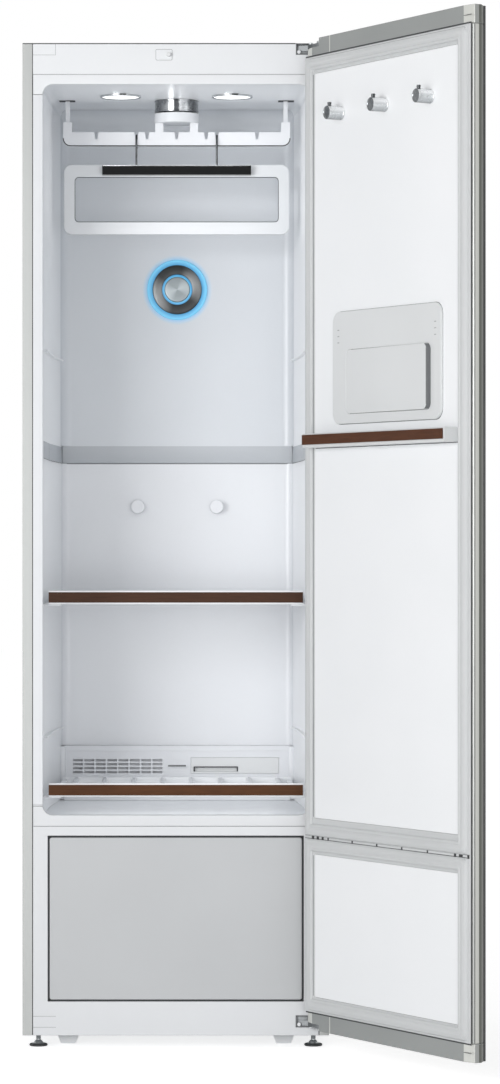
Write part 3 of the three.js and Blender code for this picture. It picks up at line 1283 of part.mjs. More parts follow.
function cabinetPieces() {
  const group = new THREE.Group();
  group.name = 'cabinet';
  for (const [name, side] of SIDES) {
    piece(group, `side_panel_${name}`, 'silver', sidePanel(side));
    piece(group, `liner_${name}`, 'chamber', sideLiner(side));
    piece(group, `skid_${name}`, 'grey', skid(side));
    const foot = turned('z', footProfile(), 0, [(side * FOOT_SPACING) / 2, FOOT_PLACE]);
    piece(group, `foot_${name}`, 'black', foot);
    const lampHeights = downFrom(OPENING_TOP - GAP, LAMP_THICKNESS);
    const lampPlace = [(side * LAMP_SPACING) / 2, LAMP_DEPTH_PLACE];
    piece(group, `lamp_${name}`, 'lamp', rod('z', LAMP_RADIUS, lampHeights, lampPlace, ROUND_SIDES));
  }
  piece(group, 'top_panel', 'silver', topPanel());
  piece(group, 'rear_panel', 'silver', rearPanel());
  piece(group, 'base_pan', 'zinc', basePan());
  piece(group, 'top_front_cover', 'white', headerCover());
  piece(group, 'rim_top', 'white', rim(1, OPENING_TOP, HEADER_SEAM - GAP));
  piece(group, 'rim_bottom', 'white', rim(-1, OPENING_BOTTOM, DRAWER_FRAME_TOP + GAP));
  piece(group, 'lower_frame', 'white', lowerFrame());
  piece(group, 'liner_ceiling', 'chamber', ceiling());
  piece(group, 'liner_floor', 'chamber', chamberFloor());
  piece(group, 'duct_cover', 'chamber', ductCover());
  piece(group, 'liner_back_lower', 'chamber', lowerBackWall());
  piece(group, 'steam_nozzle', 'steel', steamNozzle());
  piece(group, 'switch_plunger', 'grey', switchPlunger());
  return group;
}

function drivePieces() {
  const group = new THREE.Group();
  group.name = 'drive';
  piece(group, 'drive_motor', 'black', driveMotor());
  piece(group, 'drive_collar', 'chrome', driveCollar());
  piece(group, 'drive_crank', 'steel', driveCrank());
  piece(group, 'hanger_rail', 'white', hangerRail());
  piece(group, 'trouser_clamp', 'black', trouserClamp());
  piece(group, 'trouser_frame', 'white', trouserFrame());
  return group;
}

function shelfPieces() {
  const group = new THREE.Group();
  group.name = 'shelves';
  piece(group, 'upper_shelf', 'white', upperShelf());
  piece(group, 'upper_shelf_trim', 'walnut', shelfTrim(SHELF_LEVEL));
  piece(group, 'lower_rack', 'white', lowerRack());
  piece(group, 'lower_rack_trim', 'walnut', shelfTrim(RACK_LEVEL));
  piece(group, 'air_module', 'chamber', airModule());
  piece(group, 'lint_filter', 'grey', lintFilter());
  return group;
}

function doorPieces() {
  const closed = new THREE.Group();
  piece(closed, 'door_shell', 'cap', doorShell());
  piece(closed, 'door_glass', 'darkGlass', doorGlass());
  piece(closed, 'door_cap_top', 'cap', topCap());
  piece(closed, 'door_cap_bottom', 'cap', bottomCap());
  piece(closed, 'door_liner_upper', 'white', doorPanel([OPENING_BOTTOM, UPPER_PANEL_TOP]));
  piece(closed, 'door_liner_lower', 'white', doorPanel([LOWER_PANEL_BOTTOM, LOWER_PANEL_TOP]));
  piece(closed, 'door_gasket', 'rubber', doorGasket());
  for (let index = 0; index < HOOK_COUNT; index += 1) {
    const x = (index - (HOOK_COUNT - 1) / 2) * HOOK_PITCH;
    piece(closed, `door_hook_${index + 1}`, 'chrome', doorHook(x));
  }
  piece(closed, 'aroma_case', 'grey', aromaCase());
  piece(closed, 'aroma_lid', 'grey', aromaLid());
  piece(closed, 'door_shelf', 'grey', doorShelf());
  piece(closed, 'door_shelf_trim', 'walnut', doorShelfTrim());
  closed.position.set(-PIVOT_X, -PIVOT_Y, 0);
  const door = new THREE.Group();
  door.name = 'door';
  door.add(closed);
  door.rotation.z = THREE.MathUtils.degToRad(DOOR_ANGLE);
  door.position.set(PIVOT_X, PIVOT_Y, 0);
  return door;
}

function hingePieces() {
  const group = new THREE.Group();
  group.name = 'hinges';
  const upper = CABINET_HEIGHT - TOP_NOTCH_HEIGHT + HINGE_WASHER;
  const lower = DOOR_BOTTOM + BOTTOM_NOTCH_HEIGHT - HINGE_WASHER;
  piece(group, 'hinge_bracket_upper', 'black', hingeBracket(upper, 1));
  piece(group, 'hinge_bracket_lower', 'black', hingeBracket(lower, -1));
  return group;
}

function plantPieces() {
  const group = new THREE.Group();
  group.name = 'plant';
  piece(group, 'drawer_front', 'grey', drawerFront());
  piece(group, 'drawer_bin', 'grey', drawerBin());
  piece(group, 'supply_tank', 'tank', waterTank(-TANK_SPACING / 2));
  piece(group, 'drain_tank', 'tank', waterTank(TANK_SPACING / 2));
  piece(group, 'compressor', 'black', compressor());
  piece(group, 'heat_exchanger', 'copper', heatExchanger());
  piece(group, 'steam_generator', 'steel', steamGenerator());
  piece(group, 'blower', 'black', blower());
  piece(group, 'control_box', 'zinc', controlBox());
  return group;
}

// The part stands on the floor, with its whole outline centred in X and Y.
const part = new THREE.Group();
part.name = 'clothes_care_steam_cabinet';
part.add(cabinetPieces(), drivePieces(), shelfPieces(), doorPieces(), hingePieces(), plantPieces());
part.updateMatrixWorld(true);
const extent = new THREE.Box3().setFromObject(part, true);
const middle = extent.getCenter(new THREE.Vector3());
part.position.set(-middle.x, -middle.y, -extent.min.z);
part.updateMatrixWorld(true);

export default part;
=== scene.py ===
# %% [markdown]
# A clothes care steam cabinet, dressed in Blender
#
# The real object is a tall steel cabinet that refreshes clothes with steam. Its solids, with their
# real sizes and joints, come in as a fixed frame. This lesson gives every one of them the surface it
# has in the photograph, rounds the edges that catch the light, and makes the finer pieces, such as
# the lit steam nozzle, the chrome collar and the door seal, as meshes of their own.

import json
import math

import bmesh
import bpy
from mathutils import Matrix, Vector


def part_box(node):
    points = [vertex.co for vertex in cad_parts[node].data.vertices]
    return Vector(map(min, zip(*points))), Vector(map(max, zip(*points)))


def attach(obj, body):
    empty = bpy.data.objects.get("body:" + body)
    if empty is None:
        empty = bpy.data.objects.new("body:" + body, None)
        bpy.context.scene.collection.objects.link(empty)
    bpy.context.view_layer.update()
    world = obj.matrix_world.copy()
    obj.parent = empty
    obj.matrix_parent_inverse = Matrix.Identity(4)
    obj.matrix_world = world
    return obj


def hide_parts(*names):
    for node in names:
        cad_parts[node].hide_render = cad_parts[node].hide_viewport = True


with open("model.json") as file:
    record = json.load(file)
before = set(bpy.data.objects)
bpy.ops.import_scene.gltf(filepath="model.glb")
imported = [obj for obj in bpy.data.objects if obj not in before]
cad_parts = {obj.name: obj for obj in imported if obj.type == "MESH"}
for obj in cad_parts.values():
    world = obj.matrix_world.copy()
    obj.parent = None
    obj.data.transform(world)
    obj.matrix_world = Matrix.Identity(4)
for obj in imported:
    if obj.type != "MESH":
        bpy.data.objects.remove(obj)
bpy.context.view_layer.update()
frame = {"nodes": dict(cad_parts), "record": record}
nodes = frame["nodes"]
MM = 0.001

# %% [markdown]
# The cabinet was drawn from the middle of its own front, but the frame's origin is the middle of the
# whole outline with the door open. One matrix, cabinet_place, turns a place on the cabinet into a
# place in the frame. Another, door_place, does the same for a place on the shut door, and swings it
# open on its two pins.

# %% Places on the cabinet and on the door
HALF_WIDTH = 0.300
DOOR_PIN = Vector((0.283, -0.038, 0))
DOOR_TURN = math.radians(119)
NOZZLE = (0, 488, 1515)
side_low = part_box("side_panel_left")[0]
CABINET_X = side_low[0] + HALF_WIDTH
CABINET_Y = side_low[1]
cabinet_place = Matrix.Translation(Vector((CABINET_X, CABINET_Y, 0)))
door_place = cabinet_place @ Matrix.Translation(DOOR_PIN) @ Matrix.Rotation(DOOR_TURN, 4, "Z")
door_place = door_place @ Matrix.Translation(-DOOR_PIN)


def on_cabinet(x, y, z):
    return cabinet_place @ Vector((x * MM, y * MM, z * MM))


print("cabinet middle", round(CABINET_X, 4), "front", round(CABINET_Y, 4))

# %% [markdown]
# Camera. The photograph shows level verticals and a very flat perspective, so the camera is far
# away, level, and a little right of the cabinet's middle. The picture's crop is a small lens shift.
# Turning the camera could do that too, but then the verticals would lean.

# %% Camera
CAMERA_PLACE = (47.4, -7690.0, 975.0)
SENSOR_HEIGHT = 36
FOCAL_PIXELS = 3930
PICTURE = (500, 1084)
AXIS_PIXEL = (200.0, 549.5)
camera_data = bpy.data.cameras.new("studio_camera")
camera_data.sensor_fit = "VERTICAL"
camera_data.sensor_height = SENSOR_HEIGHT
camera_data.lens = FOCAL_PIXELS * SENSOR_HEIGHT / PICTURE[1]
camera_data.shift_x = (PICTURE[0] / 2 - AXIS_PIXEL[0]) / PICTURE[1]
camera_data.shift_y = (AXIS_PIXEL[1] - PICTURE[1] / 2) / PICTURE[1]
camera_data.clip_end = 60
camera = bpy.data.objects.new("studio_camera", camera_data)
bpy.context.collection.objects.link(camera)
camera.location = on_cabinet(*CAMERA_PLACE)
camera.rotation_euler = (math.radians(90), 0, 0)
bpy.context.scene.camera = camera
bpy.context.scene.view_settings.view_transform = "Standard"
print("lens", round(camera_data.lens, 1), "mm")

# %% [markdown]
# Colours and nodes. Every colour is written as the sRGB hex value that the eye would match, and one
# function turns it to linear light. One small function adds a node with its settings. A last one
# lays a whole surface: colour and gloss run with one tone, and a fine relief follows a height.

# %% Colour and node helpers
def linear(hex_colour):
    channels = [int(hex_colour[i : i + 2], 16) / 255 for i in (1, 3, 5)]
    light = [c / 12.92 if c <= 0.04045 else ((c + 0.055) / 1.055) ** 2.4 for c in channels]
    return (*light, 1.0)


def add_node(tree, kind, settings=None, values=None, links=None):
    node = tree.nodes.new(kind)
    for name, value in (settings or {}).items():
        setattr(node, name, value)
    for socket, value in (values or {}).items():
        node.inputs[socket].default_value = value
    for socket, source in (links or {}).items():
        tree.links.new(source, node.inputs[socket])
    return node


def empty_tree(owner):
    owner.use_nodes = True
    owner.node_tree.nodes.clear()
    return owner.node_tree


def new_material(name, **shader_values):
    material = bpy.data.materials.new(name)
    tree = empty_tree(material)
    named = {key.replace("_", " "): value for key, value in shader_values.items()}
    shader = add_node(tree, "ShaderNodeBsdfPrincipled", values=named)
    add_node(tree, "ShaderNodeOutputMaterial", links={"Surface": shader.outputs["BSDF"]})
    place = add_node(tree, "ShaderNodeTexCoord").outputs["Object"]
    return material, tree, place


def shader_of(tree):
    return next(node for node in tree.nodes if node.type == "BSDF_PRINCIPLED")


def lay_surface(material, tone, colours, gloss, relief=None, gloss_tone=None):
    """Runs colour and gloss between two ends; relief is (height, strength, depth in millimetres)."""
    tree = material.node_tree
    inputs = shader_of(tree).inputs
    start, end = (linear(colour) for colour in colours)
    tint = add_node(tree, "ShaderNodeMix", {"data_type": "RGBA"}, {6: start, 7: end}, {0: tone})
    sheen = add_node(
        tree, "ShaderNodeMapRange",
        values={"To Min": gloss[0], "To Max": gloss[1]}, links={"Value": gloss_tone or tone},
    )
    tree.links.new(tint.outputs[2], inputs["Base Color"])
    tree.links.new(sheen.outputs["Result"], inputs["Roughness"])
    if relief:
        height, strength, depth_mm = relief
        bump = add_node(
            tree, "ShaderNodeBump",
            values={"Strength": strength, "Distance": depth_mm * MM}, links={"Height": height},
        )
        tree.links.new(bump.outputs["Normal"], inputs["Normal"])
    return material


def per_mm(size_mm):
    """The scale that makes one cell of a pattern this many millimetres wide."""
    return 1 / (size_mm * MM)


print("helpers ready")

# %% [markdown]
# Moulded and painted skins. Most of the cabinet is painted sheet or moulded plastic. From a step
# away such a skin is not one flat colour: paint has a faint orange peel, a mould leaves a fine
# grain, and tone and gloss drift a little over a hand's width. One function makes that family. It
# takes the two ends of the colour drift, the range of the gloss, and the grain's size in
# millimetres. A picture of a surface could be laid on instead, but a noise is set straight in
# millimetres and has no seams.

# %% Moulded and painted skins
def skin(name, colour, shade, gloss, grain_mm, depth_mm, drift_mm=220.0, **values):
    material, tree, place = new_material(name, **values)
    drift = add_node(
        tree, "ShaderNodeTexNoise", values={"Scale": per_mm(drift_mm), "Detail": 1.0}, links={"Vector": place}
    ).outputs["Fac"]
    grain = add_node(
        tree, "ShaderNodeTexNoise", values={"Scale": per_mm(grain_mm), "Detail": 3.0}, links={"Vector": place}
    ).outputs["Fac"]
    tone = add_node(
        tree, "ShaderNodeMath", {"operation": "MULTIPLY_ADD"}, {1: 0.25}, {0: grain, 2: drift}
    ).outputs["Value"]
    return lay_surface(material, tone, (colour, shade), gloss, (grain, 0.5, depth_mm))


# Silver polyester powder coat on zinc-coated sheet: satin, a little metallic, faint orange peel.
powder_silver = skin("silver_powder_coat", "#b2b4b3", "#aaacab", (0.36, 0.44), 2.5, 0.05, Metallic=0.3)
# Injection-moulded white ABS of the front frame: a clean satin gloss with hardly any texture.
white_abs = skin("white_gloss_abs", "#eceef0", "#e6e8eb", (0.26, 0.32), 5.0, 0.015)
# The lower frame and the opening's bottom rim are drawn a little greyer than the header.
# The lower frame comes from another tool and is a shade greyer than the header.
grey_white_abs = skin("greyer_white_gloss_abs", "#dfe1e3", "#d9dbde", (0.26, 0.32), 5.0, 0.015)
# The rail and the trouser board are the same plastic with a duller mould, so they shine less.
satin_abs = skin("white_satin_abs", "#dcdee1", "#d5d7db", (0.38, 0.46), 2.0, 0.03)
# Painted shade: the trouser board is the same plastic as the rail, painted greyer for the shade on it.
board_painted_shade = skin("greyer_satin_board_painted_shade", "#d1d3d6", "#cacdd0", (0.38, 0.46), 2.0, 0.03)
# Vacuum-formed polystyrene liner: cool grey-white, with the soft sheen of a formed sheet.
formed_liner = skin("formed_polystyrene_liner", "#e4e6e9", "#dddfe3", (0.28, 0.34), 4.0, 0.015)
# Painted light: the liner's side walls look whiter than its front frame, though both are one sheet, so the
# walls are painted a paler tone.
formed_wall_painted_light = skin("formed_polystyrene_wall_painted_light", "#f6f7f9", "#eff1f3", (0.30, 0.38), 4.0, 0.012)
# The air duct's cover is drawn in a cooler and darker grey than the liner under it.
duct_abs = skin("cool_grey_duct_abs", "#d3d6da", "#cbcfd4", (0.28, 0.34), 4.0, 0.015)
# Painted shade: the lip across the foot of the duct's cover faces down, so it is painted a darker grey than
# the cover.
duct_lip_painted_shade = skin("grey_duct_lip_painted_shade", "#bcc0c4", "#b3b7bc", (0.34, 0.42), 3.0, 0.02)
# Painted shade: the narrow side wall of the aroma lid, where the fingers lift it, matt and painted dark grey
# for the shade on it.
lid_side_painted_shade = skin("matt_lid_side_painted_shade", "#77797b", "#6b6d6f", (0.56, 0.66), 1.5, 0.03)
# The ceiling and floor of the chamber are the same sheet, pressed against a polished tool, so that
# they mirror the collar and posts.
ceiling_gloss = skin("glossy_ceiling_polystyrene", "#eceef1", "#e5e8eb", (0.27, 0.33), 5.0, 0.008)
# White high-impact polystyrene: the formed panels of the inner door, and the two skids.
door_panel = skin("white_formed_door_panel", "#f7f8fa", "#f1f3f5", (0.30, 0.36), 4.0, 0.015)
# Grey ABS with a fine spark-eroded grain: the aroma case and lid, the door shelf and the filter.
grained_grey = skin("fine_grained_grey_abs", "#e0e2e3", "#d8dadb", (0.44, 0.52), 1.0, 0.05)
# Silver paint on the moulded drawer front: satin, with fine flakes that grey the white under it.
drawer_silver = skin("silver_drawer_paint", "#b7b9bb", "#b1b3b5", (0.40, 0.46), 0.8, 0.02, Metallic=0.15)
# Dark silver paint on the moulded corner caps of the door.
cap_silver = skin("dark_silver_cap_paint", "#999c9b", "#909392", (0.36, 0.44), 1.0, 0.02, Metallic=0.35)
# Extruded thermoplastic rubber of the magnetic door seal: matt and slightly waxy.
seal_rubber = skin("grey_seal_rubber", "#d1d3d4", "#c7c9ca", (0.56, 0.66), 1.0, 0.04)
# High-gloss black ABS of the trouser clamp: almost a mirror at a low angle.
gloss_black = skin("black_gloss_abs", "#0b0c0d", "#08090a", (0.10, 0.16), 4.0, 0.01, Specular_IOR_Level=0.2)
# Glass-filled nylon of the feet, the blower and small fittings: black with a dull, coarse grain.
black_nylon = skin("black_glass_filled_nylon", "#2a2c2e", "#202224", (0.44, 0.54), 0.8, 0.05)
# Baked black enamel on the compressor and the drive motor: thick, smooth and glossy.
black_enamel = skin("black_baked_enamel", "#2c2e30", "#242628", (0.24, 0.32), 2.0, 0.03, Coat_Weight=0.3)
# Galvanised sheet of the back panel and the chassis: dull zinc with coarse crystals.
zinc_sheet = skin("galvanised_sheet", "#b2b5b7", "#9da1a4", (0.42, 0.54), 14.0, 0.02, 60.0, Metallic=0.7)
# Zinc-plated steel of the hinge arms: bright, with a slightly cloudy shine.
hinge_steel = skin("zinc_plated_hinge_steel", "#8e9193", "#76797b", (0.34, 0.46), 6.0, 0.03, Metallic=0.6)
# The shade inside a joint between two mouldings, a millimetre or so wide.
joint_shade = skin("shaded_moulding_joint", "#a4a6a8", "#989a9c", (0.60, 0.70), 2.0, 0.02)
# Mid grey plastic of the hinge pockets' rims, and the painted shade of slots, joints and shade lines that are
# half in shade.
rim_grey_and_shade = skin("grey_rim_plastic_and_painted_shade", "#77797b", "#6b6d6f", (0.44, 0.54), 1.0, 0.03)
# The near-black inside of a deep gap or slot.
deep_shade = skin("deep_slot_shade", "#3d3f41", "#333537", (0.60, 0.70), 2.0, 0.02)
print("skins:", len(bpy.data.materials))

# %% [markdown]
# Extruded aluminium. The long frame of the door is drawn through a die, brushed and anodised, so
# fine lines run along its whole height. The pattern is a noise that is stretched sixty times along
# the height: the lines are about half a millimetre wide on the real frame and are drawn twice as
# wide, because finer ones would not show. A stretched noise also has no repeat, which a picture of
# scratches would show.

# %% Anodised aluminium
def anodised(name, colour, shade, gloss, **values):
    material, tree, place = new_material(name, **values)
    drawn = add_node(
        tree, "ShaderNodeMapping", values={"Scale": (1.0, 1.0, 1 / 60)}, links={"Vector": place}
    ).outputs["Vector"]
    lines = add_node(
        tree, "ShaderNodeTexNoise", values={"Scale": per_mm(1.0), "Detail": 2.0}, links={"Vector": drawn}
    ).outputs["Fac"]
    return lay_surface(material, lines, (colour, shade), gloss, (lines, 0.3, 0.02))


door_edge_metal = anodised("anodised_door_frame", "#a6a8a6", "#989a98", (0.30, 0.40), Metallic=0.55)
# Painted highlight and painted shade: a lighter and a darker copy of the same anodised finish, for the lit
# and the shaded faces along the door's free edge.
trim_metal_painted_highlight = anodised("anodised_trim_painted_highlight", "#d3d4cf", "#c8c9c4", (0.26, 0.34), Metallic=0.4)
trim_metal_painted_shade = anodised("anodised_trim_painted_shade", "#6a6c66", "#5e605b", (0.30, 0.40), Metallic=0.5)
print("anodised finishes ready")

# %% [markdown]
# Polished metals. Chrome plate is nearly a mirror, with only a trace of haze, and what it shows is
# the room: bright windows, dark gaps and grey walls. The studio here is plain white, so the collar's
# and the hooks' bands are drawn by the angle round each turned piece, which its own map "around"
# holds, as if a room stood about it. The hanger's wires are drawn stainless steel. The ring round the
# steam outlet is faced on a lathe: its fine circles spread the light into bright fans, and these are
# drawn from the angle round the outlet's middle, because the circles are finer than a pixel.

# %% Polished metals
def polished(name, colour, shade, gloss, haze_mm):
    material, tree, place = new_material(name, Metallic=1.0)
    haze = add_node(
        tree, "ShaderNodeTexNoise", values={"Scale": per_mm(haze_mm), "Detail": 2.0}, links={"Vector": place}
    ).outputs["Fac"]
    return lay_surface(material, haze, (colour, shade), gloss)


def banded_chrome(name, bands):
    """Each band is (share of one turn, colour); the colour runs from one to the next."""
    material, tree, place = new_material(name, Metallic=1.0)
    turn = add_node(tree, "ShaderNodeUVMap", {"uv_map": "around"}).outputs["UV"]
    apart = add_node(tree, "ShaderNodeSeparateXYZ", links={"Vector": turn})
    haze = add_node(
        tree, "ShaderNodeTexNoise", values={"Scale": per_mm(6.0), "Detail": 1.0}, links={"Vector": place}
    ).outputs["Fac"]
    bent = add_node(
        tree, "ShaderNodeMath", {"operation": "MULTIPLY_ADD"}, {1: 0.012}, {0: haze, 2: apart.outputs["X"]}
    ).outputs["Value"]
    ramp = add_node(tree, "ShaderNodeValToRGB", links={"Fac": bent})
    steps = ramp.color_ramp.elements
    steps[0].position, steps[-1].position = bands[0][0], bands[-1][0]
    steps[0].color, steps[-1].color = linear(bands[0][1]), linear(bands[-1][1])
    for position, colour in bands[1:-1]:
        steps.new(position).color = linear(colour)
    sheen = add_node(
        tree, "ShaderNodeMapRange", values={"To Min": 0.24, "To Max": 0.32}, links={"Value": haze}
    ).outputs["Result"]
    tree.links.new(ramp.outputs["Color"], shader_of(tree).inputs["Base Color"])
    tree.links.new(sheen, shader_of(tree).inputs["Roughness"])
    return material


def lathe_faced(name, bright, dark, gloss, centre, fans):
    material, tree, place = new_material(name, Metallic=0.85)
    apart = add_node(tree, "ShaderNodeSeparateXYZ", links={"Vector": place})
    across = add_node(
        tree, "ShaderNodeMath", {"operation": "SUBTRACT"}, {1: centre.x}, {0: apart.outputs["X"]}
    ).outputs["Value"]
    upward = add_node(
        tree, "ShaderNodeMath", {"operation": "SUBTRACT"}, {1: centre.z}, {0: apart.outputs["Z"]}
    ).outputs["Value"]
    angle = add_node(
        tree, "ShaderNodeMath", {"operation": "ARCTAN2"}, links={0: upward, 1: across}
    ).outputs["Value"]
    turns = add_node(
        tree, "ShaderNodeMath", {"operation": "MULTIPLY_ADD"}, {1: fans, 2: 0.9}, {0: angle}
    ).outputs["Value"]
    lobes = add_node(tree, "ShaderNodeMath", {"operation": "SINE"}, links={0: turns}).outputs["Value"]
    lit = add_node(
        tree, "ShaderNodeMapRange", values={"From Min": -0.4}, links={"Value": lobes}
    ).outputs["Result"]
    flat = add_node(tree, "ShaderNodeCombineXYZ", links={"X": across, "Y": upward}).outputs["Vector"]
    circles = add_node(
        tree, "ShaderNodeTexWave", {"wave_type": "RINGS", "rings_direction": "SPHERICAL"},
        {"Scale": per_mm(3.2), "Distortion": 0.3}, {"Vector": flat},
    ).outputs["Fac"]
    return lay_surface(material, lit, (dark, bright), gloss, (circles, 0.3, 0.02), circles)


NOZZLE_CENTRE = on_cabinet(*NOZZLE)
chrome = polished("bright_chrome_plate", "#d0d2d3", "#c4c7c9", (0.20, 0.28), 9.0)
wire_steel = polished("drawn_stainless_wire", "#67696b", "#2e3032", (0.14, 0.24), 5.0)
# The dished end of each hook, which is darker than its barrel in the photograph.
hook_end_steel = polished("dished_hook_end", "#8c8f91", "#66696b", (0.20, 0.30), 7.0)
plain_steel = polished("rolled_stainless_steel", "#b9bcbd", "#a3a6a8", (0.26, 0.38), 12.0)
collar_chrome = banded_chrome(
    "collar_chrome_plate",
    [
        (0.0, "#c4c6c8"), (0.25, "#8a8c8e"), (0.50, "#b4b6b8"), (0.60, "#8a8c8e"), (0.69, "#9c9ea0"),
        (0.70, "#e4e5e6"), (0.73, "#dfe0e1"), (0.74, "#4a4c4e"), (0.77, "#525456"), (0.78, "#d2d4d6"),
        (0.83, "#e6e7e8"), (0.85, "#8e9092"), (0.90, "#6c6e70"), (1.0, "#c4c6c8"),
    ],
)
hook_chrome = banded_chrome(
    "hook_chrome_plate",
    [
        (0.0, "#d0d3d4"), (0.12, "#c2c5c7"), (0.20, "#a2a5a7"), (0.25, "#66696b"), (0.30, "#a2a5a7"),
        (0.38, "#c2c5c7"), (0.50, "#d0d3d4"), (0.58, "#f6f7f8"), (0.68, "#e6e8e9"), (0.71, "#77797b"),
        (0.75, "#4c4e50"), (0.79, "#77797b"), (0.82, "#e6e8e9"), (0.92, "#f6f7f8"), (1.0, "#d0d3d4"),
    ],
)
ring_steel = lathe_faced("lathe_faced_dark_steel", "#757778", "#323435", (0.30, 0.40), NOZZLE_CENTRE, 2.0)
hub_steel = lathe_faced("lathe_faced_bright_steel", "#969da0", "#7b8285", (0.32, 0.42), NOZZLE_CENTRE, 2.0)
print("polished metals ready")

# %% [markdown]
# Fins. The heat exchangers behind the drawer are stacks of thin aluminium fins with a copper-coloured
# coat. Two hundred fins as geometry would cost more than they show, so the stack is drawn as a fine
# wave across its length, with dark bands of painted shade between the lighter fins.

# %% Exchanger fins
def fin_stack(name, colour, shade, pitch_mm):
    material, tree, place = new_material(name, Metallic=1.0)
    fins = add_node(
        tree, "ShaderNodeTexWave", {"wave_type": "BANDS", "bands_direction": "X"},
        {"Scale": per_mm(pitch_mm) / 3.2, "Distortion": 0.1}, {"Vector": place},
    ).outputs["Fac"]
    return lay_surface(material, fins, (shade, colour), (0.34, 0.46), (fins, 0.8, 0.6))


exchanger_fins = fin_stack("coated_exchanger_fins", "#c08a66", "#7d5138", 3.0)
print("fins ready")

# %% [markdown]
# Light covers. Two thin rings of blue light frame the steam outlet, and each ceiling lamp has a
# milky polycarbonate cover with the light behind it. Their colour runs from one tone at an inner
# radius to another at an outer one, because a light guide is brightest where the light enters it.
# Real lamps behind the covers would work too, but they render with much noise, so the covers glow
# by themselves.

# %% Light covers
def reach_from(tree, place, centre, axes):
    """How far each point lies from a middle, counting only the directions that axes names."""
    shifted = add_node(
        tree, "ShaderNodeVectorMath", {"operation": "SUBTRACT"}, {1: centre}, {0: place}
    ).outputs["Vector"]
    flat = add_node(
        tree, "ShaderNodeVectorMath", {"operation": "MULTIPLY"}, {1: axes}, {0: shifted}
    ).outputs["Vector"]
    return add_node(tree, "ShaderNodeVectorMath", {"operation": "LENGTH"}, links={0: flat}).outputs["Value"]


def spilled_on(material, centre, axes, radii, colour):
    """Tints a finish with the light that spills on it between two radii round a lamp."""
    tree = material.node_tree
    shader = shader_of(tree)
    plain = shader.inputs["Base Color"].links[0].from_socket
    place = add_node(tree, "ShaderNodeTexCoord").outputs["Object"]
    run = add_node(
        tree, "ShaderNodeMapRange", {"interpolation_type": "SMOOTHSTEP"},
        {"From Min": radii[0] * MM, "From Max": radii[1] * MM, "To Min": 1.0, "To Max": 0.0},
        {"Value": reach_from(tree, place, centre, axes)},
    ).outputs["Result"]
    tint = add_node(
        tree, "ShaderNodeMix", {"data_type": "RGBA"}, {7: linear(colour)}, {0: run, 6: plain}
    ).outputs[2]
    tree.links.new(tint, shader.inputs["Base Color"])


def light_cover(name, inner, outer, centre, axes, radii, strength):
    material, tree, place = new_material(name, Roughness=0.35, Emission_Strength=strength)
    reach = reach_from(tree, place, centre, axes)
    cloud = add_node(
        tree, "ShaderNodeTexNoise", values={"Scale": per_mm(6.0), "Detail": 1.0}, links={"Vector": place}
    ).outputs["Fac"]
    stirred = add_node(
        tree, "ShaderNodeMath", {"operation": "MULTIPLY_ADD"}, {1: 0.001}, {0: cloud, 2: reach}
    ).outputs["Value"]
    run = add_node(
        tree, "ShaderNodeMapRange",
        values={"From Min": radii[0] * MM, "From Max": radii[1] * MM}, links={"Value": stirred},
    ).outputs["Result"]
    tint = add_node(
        tree, "ShaderNodeMix", {"data_type": "RGBA"}, {6: linear(inner), 7: linear(outer)}, {0: run}
    ).outputs[2]
    for socket in ("Base Color", "Emission Color"):
        tree.links.new(tint, shader_of(tree).inputs[socket])
    return material


ACROSS_FRONT = (1, 0, 1)
ACROSS_CEILING = (1, 1, 0)
glow_wide = light_cover(
    "blue_light_guide_wide", "#2f86b8", "#6fb9da", NOZZLE_CENTRE, ACROSS_FRONT, (51, 62.5), 0.42
)
glow_fine = light_cover(
    "blue_light_guide_fine", "#62b3da", "#3488bb", NOZZLE_CENTRE, ACROSS_FRONT, (26, 31.5), 0.40
)
spilled_on(duct_abs, NOZZLE_CENTRE, ACROSS_FRONT, (61, 74), "#a4cbe6")
LAMPS = {"left": -112, "right": 112}
LAMP_DEPTH = 200
lamp_covers = {
    side: light_cover(
        f"milky_lamp_cover_{side}", "#ffffff", "#f4f5f3",
        on_cabinet(x, LAMP_DEPTH, 1885), ACROSS_CEILING, (24, 37), 1.3,
    )
    for side, x in LAMPS.items()
}
print("light covers ready")

# %% [markdown]
# Walnut foil, glass and tanks. The shelf edges carry a brown walnut foil whose grain runs along
# them, so its noise is stretched along their length. The outer door is tinted glass that is painted
# on its back. The two water tanks are blow-moulded polypropylene, milky and a little blue. All
# three could carry pictures of the real stuff, but noises at their real size are enough at this
# distance and hold up in a close view.

# %% Walnut foil, glass and tanks
def walnut_foil(name, angle, dark, light):
    material, tree, place = new_material(name, Specular_IOR_Level=0.12)
    turned_place = add_node(
        tree, "ShaderNodeMapping", {"vector_type": "TEXTURE"}, {"Rotation": (0, 0, angle)}, {"Vector": place}
    ).outputs["Vector"]
    along = add_node(
        tree, "ShaderNodeMapping", values={"Scale": (1.0, 14.0, 14.0)}, links={"Vector": turned_place}
    ).outputs["Vector"]
    grain = add_node(
        tree, "ShaderNodeTexNoise",
        values={"Scale": per_mm(40.0), "Detail": 5.0, "Roughness": 0.6}, links={"Vector": along},
    ).outputs["Fac"]
    return lay_surface(material, grain, (dark, light), (0.38, 0.54), (grain, 0.4, 0.05))


def painted_glass():
    material, tree, place = new_material("back_painted_tinted_glass", Coat_Weight=0.6, IOR=1.5)
    depth = add_node(
        tree, "ShaderNodeTexNoise", values={"Scale": per_mm(400.0), "Detail": 1.0}, links={"Vector": place}
    ).outputs["Fac"]
    return lay_surface(material, depth, ("#2b2c2f", "#35373a"), (0.05, 0.09))


